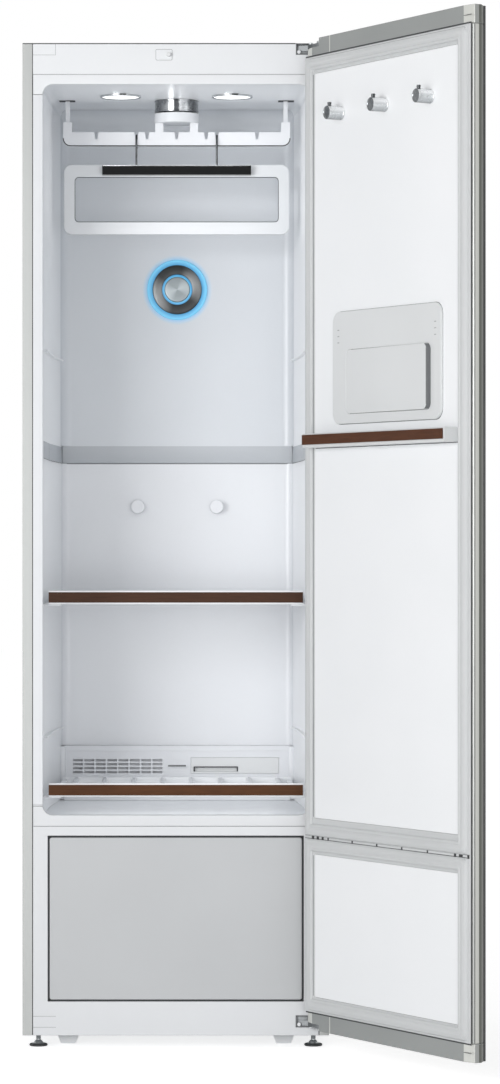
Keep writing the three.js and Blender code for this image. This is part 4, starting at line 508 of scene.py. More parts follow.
def blown_tank():
    material, tree, place = new_material("blow_moulded_tank_pp", IOR=1.49, Subsurface_Weight=0.15)
    flow = add_node(
        tree, "ShaderNodeTexNoise", values={"Scale": per_mm(40.0), "Detail": 2.0}, links={"Vector": place}
    ).outputs["Fac"]
    orange_peel = add_node(
        tree, "ShaderNodeTexNoise", values={"Scale": per_mm(1.5), "Detail": 2.0}, links={"Vector": place}
    ).outputs["Fac"]
    return lay_surface(material, flow, ("#c6d6df", "#b2c7d3"), (0.26, 0.38), (orange_peel, 0.5, 0.04))


walnut = walnut_foil("walnut_foil", 0.0, "#38200f", "#5c3a22")
walnut_on_door = walnut_foil("walnut_foil_on_door", DOOR_TURN, "#3a2013", "#613c27")
# Painted shade: the upper shelf's trim is the same foil, painted darker for the shade it lies in.
walnut_painted_shade = walnut_foil("walnut_foil_painted_shade", 0.0, "#2b1a11", "#4a3022")
tinted_glass = painted_glass()
tank_plastic = blown_tank()
print("materials in all:", len(bpy.data.materials))

# %% [markdown]
# Dressing a solid. The frame's solids have knife-sharp edges, which no moulding or folded sheet
# has. A copy of each one gets its loose triangles joined, its flat faces merged and its edges
# rounded by the radius of the real piece, so that they catch the light. Rounding alone would bend
# the shading of the large faces, so their normals are weighted by area to keep them flat.

# %% Dressing helpers
record = frame["record"]
body_of = {node: body for body, group in record["behaviour"]["bodies"].items() for node in group}
slot_of = {entry["node"]: entry["material_slot"] for entry in record["subparts"]}


def finished(piece, body, slot, *replaced):
    if replaced:
        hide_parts(*replaced)
    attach(piece, body)
    return piece


def piece_of(name, mesh, *materials):
    for material in materials:
        mesh.materials.append(material)
    piece = bpy.data.objects.new(name, mesh)
    bpy.context.collection.objects.link(piece)
    return piece


def baked(piece):
    """Turns a piece with modifiers into a plain mesh."""
    graph = bpy.context.evaluated_depsgraph_get()
    mesh = bpy.data.meshes.new_from_object(piece.evaluated_get(graph))
    piece.modifiers.clear()
    piece.data = mesh
    return mesh


def shape_of(mesh):
    shape = bmesh.new()
    shape.from_mesh(mesh)
    return shape


def put_back(shape, mesh):
    shape.to_mesh(mesh)
    shape.free()
    return mesh


def laid_out(shape, name, place):
    """Makes a mesh of a new shape, with its faces outward and turned into a frame."""
    bmesh.ops.recalc_face_normals(shape, faces=shape.faces)
    bmesh.ops.transform(shape, matrix=place, verts=shape.verts)
    return put_back(shape, bpy.data.meshes.new(name))


def smooth(mesh, degrees=40):
    mesh.polygons.foreach_set("use_smooth", [True] * len(mesh.polygons))
    mesh.set_sharp_from_angle(angle=math.radians(degrees))


def rounded(piece, edge_mm, segments=2, angle=35):
    bevel = piece.modifiers.new("edges", "BEVEL")
    bevel.width = edge_mm * MM
    bevel.segments = segments
    bevel.limit_method = "ANGLE"
    bevel.angle_limit = math.radians(angle)
    baked(piece)
    smooth(piece.data, 50)
    flat = piece.modifiers.new("flat_faces", "WEIGHTED_NORMAL")
    flat.keep_sharp = True
    baked(piece)
    return piece


def merged_copy(node):
    mesh = nodes[node].data.copy()
    mesh.materials.clear()
    shape = shape_of(mesh)
    bmesh.ops.remove_doubles(shape, verts=shape.verts, dist=2e-6)
    bmesh.ops.dissolve_limit(shape, angle_limit=math.radians(1.0), verts=shape.verts, edges=shape.edges)
    return put_back(shape, mesh)


def dress(node, material, edge_mm):
    piece = piece_of(f"{node}_finish", merged_copy(node), material)
    if edge_mm:
        rounded(piece, edge_mm)
    else:
        smooth(piece.data)
    return finished(piece, body_of[node], slot_of[node], node)


def pressed(node, material, facing, margin_mm, drop_mm):
    """Dresses a sheet whose field is pressed in by a step along its rim."""
    mesh = merged_copy(node)
    shape = shape_of(mesh)
    facing = Vector(facing)
    outer = max(face.calc_center_median().dot(facing) for face in shape.faces)
    field = [
        face for face in shape.faces
        if face.normal.dot(facing) > 0.99 and face.calc_center_median().dot(facing) > outer - 1e-5
    ]
    bmesh.ops.inset_region(
        shape, faces=field, thickness=margin_mm * MM, depth=-drop_mm * MM, use_even_offset=True
    )
    piece = rounded(piece_of(f"{node}_finish", put_back(shape, mesh), material), 0.4)
    return finished(piece, body_of[node], slot_of[node], node)


def second_finish(node, material, chosen):
    """Gives a dressed solid's chosen faces another finish."""
    mesh = bpy.data.objects[f"{node}_finish"].data
    mesh.materials.append(material)
    for face in mesh.polygons:
        face.material_index = 1 if chosen(face) else 0


print("dressing helpers ready for", len(body_of), "solids")

# %% [markdown]
# The solids that keep their own shape. Each is named with its finish and its edge radius in
# millimetres: folded sheet turns on about half a millimetre, the frame's mouldings on one to one
# and a half, and the thick moulded board on two. The top and back sheets are also pressed: a
# shallow step runs round them, which stiffens the sheet and leaves room for flat screw heads. The
# liner's side walls are painted paler than its front frame, as painted light, and the duct cover's
# sloping lip, which faces down, is painted darker, as painted shade. They could be modelled again,
# but a copy of the frame's solid can't stray from its size.

# %% Dress the cabinet's shell and chamber
SHELL = {
    "side_panel_left": (powder_silver, 0.8),
    "side_panel_right": (powder_silver, 0.8),
    "base_pan": (zinc_sheet, 0.6),
    "top_front_cover": (white_abs, 1.2),
    "rim_top": (white_abs, 1.5),
    "rim_bottom": (grey_white_abs, 1.5),
    "lower_frame": (grey_white_abs, 1.2),
    "liner_left": (formed_wall_painted_light, 0.8),
    "liner_right": (formed_wall_painted_light, 0.8),
    "liner_ceiling": (ceiling_gloss, 0.6),
    "liner_floor": (ceiling_gloss, 0.6),
    "duct_cover": (duct_abs, 2.0),
    "liner_back_lower": (formed_liner, 0.8),
    "air_module": (formed_liner, 0.8),
    "lint_filter": (grained_grey, 0.6),
    "skid_left": (door_panel, 1.0),
    "skid_right": (door_panel, 1.0),
    "hinge_bracket_upper": (hinge_steel, 0.8),
    "hinge_bracket_lower": (hinge_steel, 0.8),
    "switch_plunger": (grained_grey, 0.6),
}
for node, (material, edge) in SHELL.items():
    dress(node, material, edge)

pressed("top_panel", powder_silver, (0, 0, 1), 12, 0.9)
pressed("rear_panel", zinc_sheet, (0, 1, 0), 16, 1.1)
# Painted light: faces of the liner's walls that turn to the front keep the plain liner tone, and the rest
# stays painted paler.
for side in ("left", "right"):
    second_finish(f"liner_{side}", formed_liner, lambda face: face.normal.y < -0.3)
# Painted shade: the faces of the cover's lip that turn down and forward, below LIP_TOP, take the darker grey.
LIP_TOP = 1.19
second_finish(
    "duct_cover", duct_lip_painted_shade,
    lambda face: face.normal.z < -0.2 and face.normal.y < -0.2 and face.center.z < LIP_TOP,
)
print("shell and chamber:", len(SHELL))

# %% [markdown]
# The machinery behind the drawer, the drawer itself and the shelves. The machines can't be seen in
# the photograph, so they take the finishes that such machines usually have: baked enamel, rolled
# steel, coated fins and nylon. The tanks are blown, so they have the widest rounds. The
# compressor's shell is round already, and rounding it again would only add faces, so its edge is
# given as nought.

# %% Dress the machinery, the drawer and the shelves
INSIDE = {
    "drive_motor": (black_enamel, 1.0),
    "drive_crank": (plain_steel, 0.6),
    "compressor": (black_enamel, 0),
    "heat_exchanger": (exchanger_fins, 0.4),
    "steam_generator": (plain_steel, 1.0),
    "blower": (black_nylon, 1.5),
    "control_box": (zinc_sheet, 1.0),
    "drawer_front": (drawer_silver, 1.5),
    "drawer_bin": (white_abs, 1.0),
    "supply_tank": (tank_plastic, 3.0),
    "drain_tank": (tank_plastic, 3.0),
    "upper_shelf": (white_abs, 1.0),
    "upper_shelf_trim": (walnut_painted_shade, 0.5),
    "lower_rack": (white_abs, 1.0),
    "lower_rack_trim": (walnut, 0.5),
    "hanger_rail": (satin_abs, 1.6),
    "trouser_clamp": (gloss_black, 1.2),
    "trouser_frame": (board_painted_shade, 2.2),
}
for node, (material, edge) in INSIDE.items():
    dress(node, material, edge)
print("machinery, drawer and shelves:", len(INSIDE))

# %% [markdown]
# The door. Its frame and glass have edges that are just eased, its inner panels are thin formed
# sheet, and the seal and the aroma lid have the softest rounds. The two bands of painted highlight and
# painted shade along its free edge, and the lid's side painted in shade, come later, because they
# depend on where a face lies on the shut door.

# %% Dress the door
DOOR = {
    "door_shell": (door_edge_metal, 1.0),
    "door_glass": (tinted_glass, 0.8),
    "door_cap_top": (cap_silver, 1.2),
    "door_cap_bottom": (cap_silver, 1.2),
    "door_liner_upper": (door_panel, 0.6),
    "door_liner_lower": (door_panel, 0.6),
    "door_gasket": (seal_rubber, 1.4),
    "aroma_case": (grained_grey, 1.0),
    "door_shelf": (grained_grey, 0.8),
    "door_shelf_trim": (walnut_on_door, 0.5),
    "aroma_lid": (grained_grey, 1.4),
}
for node, (material, edge) in DOOR.items():
    dress(node, material, edge)
print("door:", len(DOOR))

# %% [markdown]
# Round pieces. A turned piece is a profile of radius and height that is swept round its axis. With
# 96 steps and small rounded corners in the profile it stays round in a close view, which the
# frame's faceted solids do not. Each point of a profile also names the finish of the face before
# it. A map called "around" holds the share of one turn, which the chrome's bands follow. The Screw
# modifier would turn the same form, but rings built in one function can hold a finish for each band
# and that map.

# %% The turning helper
def turned(name, profile, place, materials, steps=96):
    shape = bmesh.new()
    around = shape.loops.layers.uv.new("around")
    rings = []
    for radius, height, _ in profile:
        count = steps if radius else 1
        spots = [(2 * math.pi * i / count, radius * MM) for i in range(count)]
        rings.append([shape.verts.new((r * math.cos(a), r * math.sin(a), height * MM)) for a, r in spots])
    for lower, upper, (_, _, finish) in zip(rings, rings[1:], profile[1:]):
        for i in range(steps):
            loop = [(lower, i), (lower, i + 1), (upper, i + 1), (upper, i)]
            loop = [ring[index % len(ring)] for ring, index in loop]
            face = shape.faces.new(list(dict.fromkeys(loop)))
            face.material_index = finish
            for corner in face.loops:
                share = math.atan2(corner.vert.co.y, corner.vert.co.x) / (2 * math.pi) % 1
                on_axis = corner.vert.co.xy.length < MM * 0.01
                late = share < i / steps - 0.5
                corner[around].uv = ((i + 0.5) / steps if on_axis else share + late, 0)
    bmesh.ops.remove_doubles(shape, verts=shape.verts, dist=1e-7)
    mesh = laid_out(shape, name, place)
    smooth(mesh, 28)
    return piece_of(name, mesh, *materials)


def upright(x, y, z):
    return cabinet_place @ Matrix.Translation(Vector((x, y, z)) * MM)


def facing_front(x, y, z):
    return upright(x, y, z) @ Matrix.Rotation(math.pi / 2, 4, "X")


def out_of_door(x, y, z):
    """An axis out of the door's inner face, from its place with the door shut."""
    return door_place @ Matrix.Translation(Vector((x, y, z)) * MM) @ Matrix.Rotation(-math.pi / 2, 4, "X")


print("turning helper ready")

# %% [markdown]
# The steam outlet. A wide light guide lies on the duct's cover, a dark lathe-faced ring with a soft
# shoulder stands on it, then comes a fine light guide, and a bright hub with a plain face. The four
# bands could be four pieces. As one turned profile they can't come apart, and each band still takes
# its own finish.

# %% Steam outlet
outlet_profile = [
    (0, -14.9, 1), (24.4, -14.9, 1), (24.4, 0.3, 1), (61.5, 0.3, 0), (62.4, 1.0, 0), (62.4, 3.4, 0),
    (60.8, 4.9, 0), (56.0, 5.0, 0), (51.2, 5.0, 0), (51.0, 9.8, 1), (50.2, 11.3, 1), (48.4, 11.9, 1),
    (35.0, 11.6, 1), (32.2, 11.2, 1), (31.5, 10.4, 1), (31.3, 9.2, 1), (28.8, 9.6, 2), (26.4, 9.8, 2),
    (26.0, 10.2, 3), (25.8, 13.8, 3), (25.0, 14.7, 3), (23.6, 14.9, 3), (10.0, 14.5, 3), (0, 14.4, 3),
]
outlet_finishes = [glow_wide, ring_steel, glow_fine, hub_steel]
outlet = turned("steam_nozzle_finish", outlet_profile, facing_front(*NOZZLE), outlet_finishes)
finished(outlet, "cabinet", "brushed_steel", "steam_nozzle")
print("steam outlet faces:", len(outlet.data.polygons))

# %% [markdown]
# The two ceiling lamps sit flush in the ceiling. Each has a thin chromed rim and a milky cover that
# bows down a little. Rim and cover share one axis, so one profile gives both.

# %% Ceiling lamps
lamp_profile = [
    (0, -0.1, 0), (40.9, -0.1, 1), (40.9, -2.6, 1), (40.2, -3.6, 1), (39.0, -3.9, 1), (37.4, -3.2, 1),
    (36.6, -2.2, 1), (36.0, -2.2, 0), (26.0, -3.2, 0), (12.0, -3.7, 0), (0, -3.8, 0),
]
for side, x in LAMPS.items():
    lamp_place = upright(x, LAMP_DEPTH, 1885.3)
    lamp = turned(f"lamp_{side}_finish", lamp_profile, lamp_place, [lamp_covers[side], chrome])
    finished(lamp, "cabinet", "lamp_diffuser", f"lamp_{side}")
print("ceiling lamps:", len(LAMPS))

# %% [markdown]
# The chrome collar hides the crank under the ceiling. It is a polished ring with a bead at each
# end. The beads catch the light as thin lines, so they are drawn in the profile and not left to a
# bevel.

# %% Drive collar
collar_profile = [
    (35.0, -0.1, 0), (44.4, -0.1, 0), (44.9, -0.6, 0), (44.9, -2.2, 0), (43.9, -2.9, 0), (43.9, -20.6, 0),
    (44.9, -21.4, 0), (44.9, -23.2, 0), (44.3, -23.9, 0), (35.6, -23.9, 0), (35.0, -23.4, 0), (35.0, -0.1, 0),
]
collar = turned("drive_collar_finish", collar_profile, upright(0, 290, 1885.3), [collar_chrome])
finished(collar, "cabinet", "bright_chrome", "drive_collar")
print("collar faces:", len(collar.data.polygons))

# %% [markdown]
# Three chromed hooks stand out of the door. Each is a short barrel with a turned neck at the panel,
# a dished face at its free end and a small steel peg on top that keeps a hanger from slipping off.
# Barrel and peg stand at a right angle, so each is turned about its own axis.

# %% Door hooks
barrel_profile = [
    (0, 0, 0), (12.6, 0, 0), (12.95, 0.4, 0), (12.95, 1.6, 0), (12.2, 2.2, 0), (12.2, 2.8, 0),
    (12.95, 3.4, 0), (12.95, 31.8, 0), (12.7, 32.6, 0), (12.2, 32.95, 1), (11.2, 32.4, 1),
    (10.4, 31.4, 1), (4.0, 30.9, 1), (0, 30.8, 1),
]
peg_profile = [
    (0, 0, 0), (3.6, 0, 0), (3.6, 9.6, 0), (3.95, 9.9, 0), (3.95, 12.2, 0), (3.4, 12.9, 0), (0, 13.0, 0),
]
for index, x in enumerate((-160, 0, 160), start=1):
    barrel_place = out_of_door(x, -9.4, 1811)
    barrel = turned(f"door_hook_{index}_finish", barrel_profile, barrel_place, [hook_chrome, hook_end_steel])
    finished(barrel, "door", "bright_chrome", f"door_hook_{index}")
    peg_place = door_place @ Matrix.Translation(Vector((x, 16.6, 1817.9)) * MM)
    peg = turned(f"door_hook_{index}_peg", peg_profile, peg_place, [wire_steel], 40)
    finished(peg, "door", "bright_chrome")
print("hooks: 3")

# %% [markdown]
# Levelling feet: a black nylon pad, and a pressed steel hub on a threaded steel stem. The thread's
# pitch is 1.6 millimetres and it is cut here as rings, which look the same. A helix would need a
# seam where it ends, and rings close on themselves.

# %% Levelling feet
foot_profile = [
    (0, 0.02, 0), (16.6, 0.02, 0), (17.9, 1.2, 0), (17.9, 3.4, 0), (17.0, 4.6, 0), (13.6, 5.6, 0),
    (9.6, 6.0, 1), (8.4, 8.6, 1), (5.6, 11.6, 1), (4.3, 12.4, 1), (4.3, 13.0, 1),
]
THREAD_PITCH = 1.6
for ridge in range(15):
    root = 13.6 + ridge * THREAD_PITCH
    foot_profile += [(4.3, root, 1), (4.95, root + THREAD_PITCH / 2, 1)]
foot_profile += [(4.3, 37.2, 1), (3.6, 37.9, 1), (0, 37.95, 1)]
for side, x in (("left", -270), ("right", 270)):
    foot = turned(f"foot_{side}_finish", foot_profile, upright(x, 34, 0), [black_nylon, plain_steel], 48)
    finished(foot, f"foot_{side}", "black_moulding", f"foot_{side}")
print("feet: 2")

# %% [markdown]
# Seams and small fittings. Where two mouldings meet there is a joint a millimetre wide, and at this
# distance it is seen as a thin shaded line. A line is a shallow rounded strip that lies in its
# joint. Strips that belong together are one mesh, so that the scene stays easy to read. It could be
# cut into the mouldings, but the frame's solids keep their shape.

# %% Strips and plates
def strip_piece(name, material, place, boxes, edge_mm=0.15):
    """Each box is (x0, x1, y0, y1, z0, z1) in millimetres, in the frame that place turns."""
    shape = bmesh.new()
    for x0, x1, y0, y1, z0, z1 in boxes:
        size = Matrix.Diagonal((x1 - x0, y1 - y0, z1 - z0, 1)) * MM
        size[3][3] = 1
        middle = Matrix.Translation(Vector((x0 + x1, y0 + y1, z0 + z1)) * MM / 2)
        bmesh.ops.create_cube(shape, size=1, matrix=middle @ size)
    bmesh.ops.bevel(
        shape, geom=list(shape.edges), offset=edge_mm * MM,
        segments=2, profile=0.5, affect="EDGES", clamp_overlap=True,
    )
    mesh = laid_out(shape, name, place)
    smooth(mesh, 30)
    return piece_of(name, mesh, material)


def strips(name, body, slot, material, place, boxes, edge_mm=0.15):
    return finished(strip_piece(name, material, place, boxes, edge_mm), body, slot)


def corner_points(left, right, bottom, top, radius, steps=8):
    """The outline of a rounded rectangle, as (x, z) in millimetres."""
    points = []
    for turn, (cx, cz) in enumerate(
        ((right - radius, top - radius), (left + radius, top - radius),
         (left + radius, bottom + radius), (right - radius, bottom + radius))
    ):
        for step in range(steps + 1):
            angle = math.pi / 2 * (turn + step / steps)
            points.append((cx + radius * math.cos(angle), cz + radius * math.sin(angle)))
    return points


def plate(name, body, slot, material, place, outline, depths, edge_mm=0.3):
    shape = bmesh.new()
    face = shape.faces.new([shape.verts.new(Vector((x, depths[0], z)) * MM) for x, z in outline])
    pulled = bmesh.ops.extrude_face_region(shape, geom=[face])
    moved = [item for item in pulled["geom"] if isinstance(item, bmesh.types.BMVert)]
    bmesh.ops.translate(shape, vec=Vector((0, depths[1] - depths[0], 0)) * MM, verts=moved)
    piece = rounded(piece_of(name, laid_out(shape, name, place), material), edge_mm, 2, 50)
    return finished(piece, body, slot)


print("strips and plates ready")

# %% [markdown]
# Copies in rows. Screws, louvres, vents and clips repeat at a fixed pitch, so a Geometry Nodes tree
# makes them. It lays a line of points, puts the modelled piece on each of them, and repeats that
# row along a second line. The copies are made real and get their finish at the end of the tree. The
# Array modifier would do for one row, but the tree takes both directions and the finish at once.

# %% Tree for rows of copies
def rule_tree(name, sockets):
    """Starts a tree with named inputs for a piece, its sizes and its finish."""
    tree = bpy.data.node_groups.new(name, "GeometryNodeTree")
    tree.is_modifier = True
    for socket, kind in (*sockets, ("Finish", "Material")):
        tree.interface.new_socket(socket, in_out="INPUT", socket_type=f"NodeSocket{kind}")
    tree.interface.new_socket("Made", in_out="OUTPUT", socket_type="NodeSocketGeometry")
    return tree, add_node(tree, "NodeGroupInput").outputs


def end_rule(tree, given, geometry):
    """Ends a tree: what it made becomes real geometry and takes its finish."""
    real = add_node(tree, "GeometryNodeRealizeInstances", links={"Geometry": geometry}).outputs["Geometry"]
    coated = add_node(
        tree, "GeometryNodeSetMaterial", links={"Geometry": real, "Material": given["Finish"]}
    ).outputs["Geometry"]
    add_node(tree, "NodeGroupOutput", links={"Made": coated})
    return tree


def rows_tree():
    tree, given = rule_tree(
        "copies_in_rows",
        (
            ("Piece", "Geometry"), ("Columns", "Int"), ("Column step", "Vector"),
            ("Rows", "Int"), ("Row step", "Vector"),
        ),
    )
    row = add_node(
        tree, "GeometryNodeMeshLine", {"mode": "OFFSET"},
        links={"Count": given["Columns"], "Offset": given["Column step"]},
    )
    in_row = add_node(
        tree, "GeometryNodeInstanceOnPoints",
        links={"Points": row.outputs["Mesh"], "Instance": given["Piece"]},
    )
    column = add_node(
        tree, "GeometryNodeMeshLine", {"mode": "OFFSET"},
        links={"Count": given["Rows"], "Offset": given["Row step"]},
    )
    in_grid = add_node(
        tree, "GeometryNodeInstanceOnPoints",
        links={"Points": column.outputs["Mesh"], "Instance": in_row.outputs["Instances"]},
    )
    return end_rule(tree, given, in_grid.outputs["Instances"])


def with_tree(piece, tree, values):
    """Gives a tree its values by each input's identifier and turns the result into a plain mesh."""
    rule = piece.modifiers.new("rule", "NODES")
    rule.node_group = tree
    for socket in tree.interface.items_tree:
        if socket.in_out == "INPUT" and socket.name in values:
            rule[socket.identifier] = values[socket.name]
    baked(piece)
    return piece


ROWS = rows_tree()
NO_STEP = (0.0, 0.0, 0.0)


def in_rows(piece, finish, columns, column_step, rows=1, row_step=NO_STEP):
    values = {
        "Columns": columns, "Column step": Vector(column_step) * MM,
        "Rows": rows, "Row step": Vector(row_step) * MM, "Finish": finish,
    }
    with_tree(piece, ROWS, values)
    smooth(piece.data, 30)
    return piece


print("tree for rows:", len(ROWS.nodes), "nodes")

# %% [markdown]
# Beads along a path. The lips of the door seal, the hanger's wires and the painted shade lines round
# the hanger's board all keep one round section along a path, so a second tree sweeps a circle along
# the mesh's own edges. A curve with a bevel would look the same. The tree keeps radius and sides as
# named inputs and ends in a closed mesh.

# %% Tree for beads
def bead_tree():
    tree, given = rule_tree(
        "bead_along_path", (("Path", "Geometry"), ("Bead radius", "Float"), ("Sides", "Int"))
    )
    curve = add_node(tree, "GeometryNodeMeshToCurve", links={"Mesh": given["Path"]})
    circle = add_node(
        tree, "GeometryNodeCurvePrimitiveCircle", {"mode": "RADIUS"},
        links={"Resolution": given["Sides"], "Radius": given["Bead radius"]},
    )
    swept = add_node(
        tree, "GeometryNodeCurveToMesh", values={"Fill Caps": True},
        links={"Curve": curve.outputs["Curve"], "Profile Curve": circle.outputs["Curve"]},
    )
    return end_rule(tree, given, swept.outputs["Mesh"])


BEAD = bead_tree()


def bead(name, body, slot, finish, place, paths, radius_mm, closed=True, sides=10):
    """Each path is a list of (x, y, z) in millimetres, in the frame that place turns."""
    points, edges = [], []
    for path in paths:
        first = len(points)
        points += [place @ (Vector(point) * MM) for point in path]
        edges += [(first + i, first + i + 1) for i in range(len(path) - 1)]
        if closed:
            edges.append((len(points) - 1, first))
    mesh = bpy.data.meshes.new(name)
    mesh.from_pydata(points, edges, [])
    piece = piece_of(name, mesh)
    with_tree(piece, BEAD, {"Bead radius": radius_mm * MM, "Sides": sides, "Finish": finish})
    shape = shape_of(piece.data)
    bmesh.ops.recalc_face_normals(shape, faces=shape.faces)
    put_back(shape, piece.data)
    smooth(piece.data, 50)
    return finished(piece, body, slot)


def ring_path(left, right, bottom, top, radius, depth):
    return [(x, depth, z) for x, z in corner_points(left, right, bottom, top, radius)]


print("tree for beads:", len(BEAD.nodes), "nodes")

# %% [markdown]
# The front's joints. Dark seams part the silver side panels from the white frame, and thin lines
# mark the header, the rims, the kick panel and the blank hinge cover at the top left. They stand a
# fraction of a millimetre out of the skin, so that the two never lie in one plane.

# %% Joints of the front
FRONT = cabinet_place
strips(
    "front_dark_seams", "cabinet", "black_moulding", deep_shade, FRONT,
    [
        (-281.0, -279.5, -0.25, 0.4, 24.5, 1965.5), (279.5, 281.0, -0.25, 0.4, 24.5, 1965.5),
        (-299.5, 234.6, -0.3, 0.4, 1963.9, 1965.9),
    ],
)
strips(
    "front_thin_joints", "cabinet", "white_moulding", joint_shade, FRONT,
    [
        (-279.2, 279.2, -0.15, 0.4, 1904.3, 1905.3), (-279.2, 279.2, -0.12, 0.4, 432.8, 433.5),
        (-279.2, -234.4, -0.15, 0.4, 61.2, 62.1), (-279.2, -234.4, -0.15, 0.4, 39.7, 40.6),
        (-279.2, -235.2, -0.15, 0.4, 1942.4, 1943.1), (-235.6, -234.9, -0.15, 0.4, 1942.4, 1964.4),
    ],
)
strips(
    "front_rim_joints", "cabinet", "black_moulding", rim_grey_and_shade, FRONT,
    [(x - 9.2, x + 9.2, -0.15, 0.4, z, z + 0.9) for x in (-270, 270) for z in (1864.6, 471.8)],
)
print("front joints ready")

# %% [markdown]
# The door switch sits in a small moulded plate in the header, and its plunger stands out of it. The
# plate is an outline that is pulled forward, and a wider dark one behind it shows as the joint.

# %% Switch plate
plate(
    "switch_plate_shade", "cabinet", "white_moulding", joint_shade, FRONT,
    corner_points(-39.4, -6.7, 1932.1, 1954.1, 3.0), (0.2, -0.25), 0.1,
)
plate(
    "switch_plate", "cabinet", "white_moulding", white_abs, FRONT,
    corner_points(-38.6, -7.5, 1932.9, 1953.3, 2.6), (0.2, -0.8), 0.3,
)
print("switch plate ready")

# %% [markdown]
# The trouser hanger's wires. Each wire stands up from the clamp bar, bends over the shaking rail in
# a half circle and ends behind it. The bar keeps its own shape, and its wires are swept again as
# round bright steel. The solid's own wires have flat sides, which bright steel would show.

# %% Hanger wires
clamp = bpy.data.objects["trouser_clamp_finish"]
shape = shape_of(clamp.data)
BAR_TOP = 1753.3
loose = [face for face in shape.faces if max(corner.co.z for corner in face.verts) > BAR_TOP * MM]
bmesh.ops.delete(shape, geom=loose, context="FACES")
open_edges = [edge for edge in shape.edges if edge.is_boundary]
bmesh.ops.holes_fill(shape, edges=open_edges, sides=0)
put_back(shape, clamp.data)
RAIL_DEPTH, BEND_HEIGHT, BEND_RADIUS = 290, 1798.5, 17.3
wire_paths = []
for x in (-81.5, 81.5):
    path = [(x, RAIL_DEPTH - BEND_RADIUS, z) for z in (1746, 1752, 1760, 1772, 1784, 1792)]
    for step in range(17):
        angle = math.pi * step / 16
        depth, height = BEND_RADIUS * math.cos(angle), BEND_RADIUS * math.sin(angle)
        path.append((x, RAIL_DEPTH - depth, BEND_HEIGHT + height))
    path += [(x, RAIL_DEPTH + BEND_RADIUS, 1794), (x, 307.2, 1790)]
    wire_paths.append(path)
bead("hanger_wires", "trouser_hanger", "bright_chrome", wire_steel, FRONT, wire_paths, 2.0, False, 16)
# Painted highlight: a thin chrome strip along the bar's top edge stands for the highlight there.
strips(
    "clamp_bar_painted_highlight", "trouser_hanger", "bright_chrome", chrome, FRONT,
    [(-149.5, 149.5, 267.5, 268.6, 1751.9, 1752.9)], 0.2,
)
print("hanger wires ready")

# %% [markdown]
# The hanger's board is outlined with painted shade: a grey bead round its outline and a darker one
# round its window stand for the shade along their edges. The dark line under the rail is painted
# shade beneath it. A bevel can't draw such lines, so each is a bead along its outline.

# %% Shade lines of the board and rail
BOARD_TOP, BOARD_HEIGHT = 1756, 141.5
bead(
    "board_outer_painted_shade", "trouser_hanger", "white_moulding", joint_shade, FRONT,
    [ring_path(-227.3, 227.3, BOARD_TOP - BOARD_HEIGHT + 1.1, BOARD_TOP - 1.1, 14.8, 287.9)], 0.7,
)
bead(
    "board_window_painted_shade", "trouser_hanger", "white_moulding", deep_shade, FRONT,
    [ring_path(-206.6, 206.6, 1639.9, 1730.6, 7.8, 290)], 0.9,
)
RAIL_HALF, RAIL_ROUND, LINE_ROUND, LINE_DEPTH = 230, 15, 14.6, 279.0
rail_line = [(0.2 - RAIL_HALF, LINE_DEPTH, 1809)]
for step in range(9):
    angle = math.pi + math.pi / 2 * step / 8
    x = RAIL_ROUND - RAIL_HALF + LINE_ROUND * math.cos(angle)
    rail_line.append((x, LINE_DEPTH, 1808.5 + LINE_ROUND * math.sin(angle)))
rail_line += [(-x, y, z) for x, y, z in reversed(rail_line)]
bead("rail_underside_painted_shade", "hanging_rail", "black_moulding", deep_shade, FRONT, [rail_line], 1.3, False)
print("board from", BOARD_TOP - BOARD_HEIGHT, "to", BOARD_TOP)

# %% [markdown]
# The rail's two posts slide in short slots of the ceiling, which are seen as dark marks beside
# them, and a small dark clip shows in front of each lamp's rim. Nothing of their inside can be
# seen, so a flat dark strip is enough for each.

# %% Ceiling slots
strips(
    "ceiling_slots", "cabinet", "black_moulding", deep_shade, FRONT,
    [(side * 222 - 16, side * 222 + 16, 279, 301, 1884.3, 1885.4) for side in (-1, 1)], 0.3,
)
strips(
    "lamp_clips", "cabinet", "black_moulding", deep_shade, FRONT,
    [(x - 1, x + 12, 155.5, 158.6, 1883.2, 1885.2) for x in LAMPS.values()], 0.3,
)
print("ceiling slots ready")

# %% [markdown]
# Coves. The liner is one formed sheet, and a hot sheet can't be drawn into a sharp corner, so the
# walls run into the back and the ceiling in a round: thirteen to twenty-two millimetres at the sides
# and forty-four where the ceiling meets the duct's cover. The frame leaves these corners square. A
# cove is the hollow round between two walls, and the pull of each wall is squared along it, which
# gives a curve that leaves both walls without a crease.

# %% Coves of the chamber
def cove(name, material, corner, first, second, run, steps=12):
    """First and second go from the corner to the cove's two edges, and run goes along the corner."""
    corner, first, second, run = (Vector(value) * MM for value in (corner, first, second, run))
    shape = bmesh.new()
    rings = []
    for start in (corner, corner + run):
        spots = [start - (first + second) * 0.02]
        for step in range(steps + 1):
            share = step / steps
            spots.append(start + first * (1 - share) ** 2 + second * share**2)
        rings.append([shape.verts.new(spot) for spot in spots])
    for i in range(len(rings[0])):
        j = (i + 1) % len(rings[0])
        shape.faces.new((rings[0][i], rings[0][j], rings[1][j], rings[1][i]))
    for ring in rings:
        shape.faces.new(ring)
    mesh = laid_out(shape, name, cabinet_place)
    smooth(mesh, 30)
    return finished(piece_of(name, mesh, material), "cabinet", "chamber_liner")


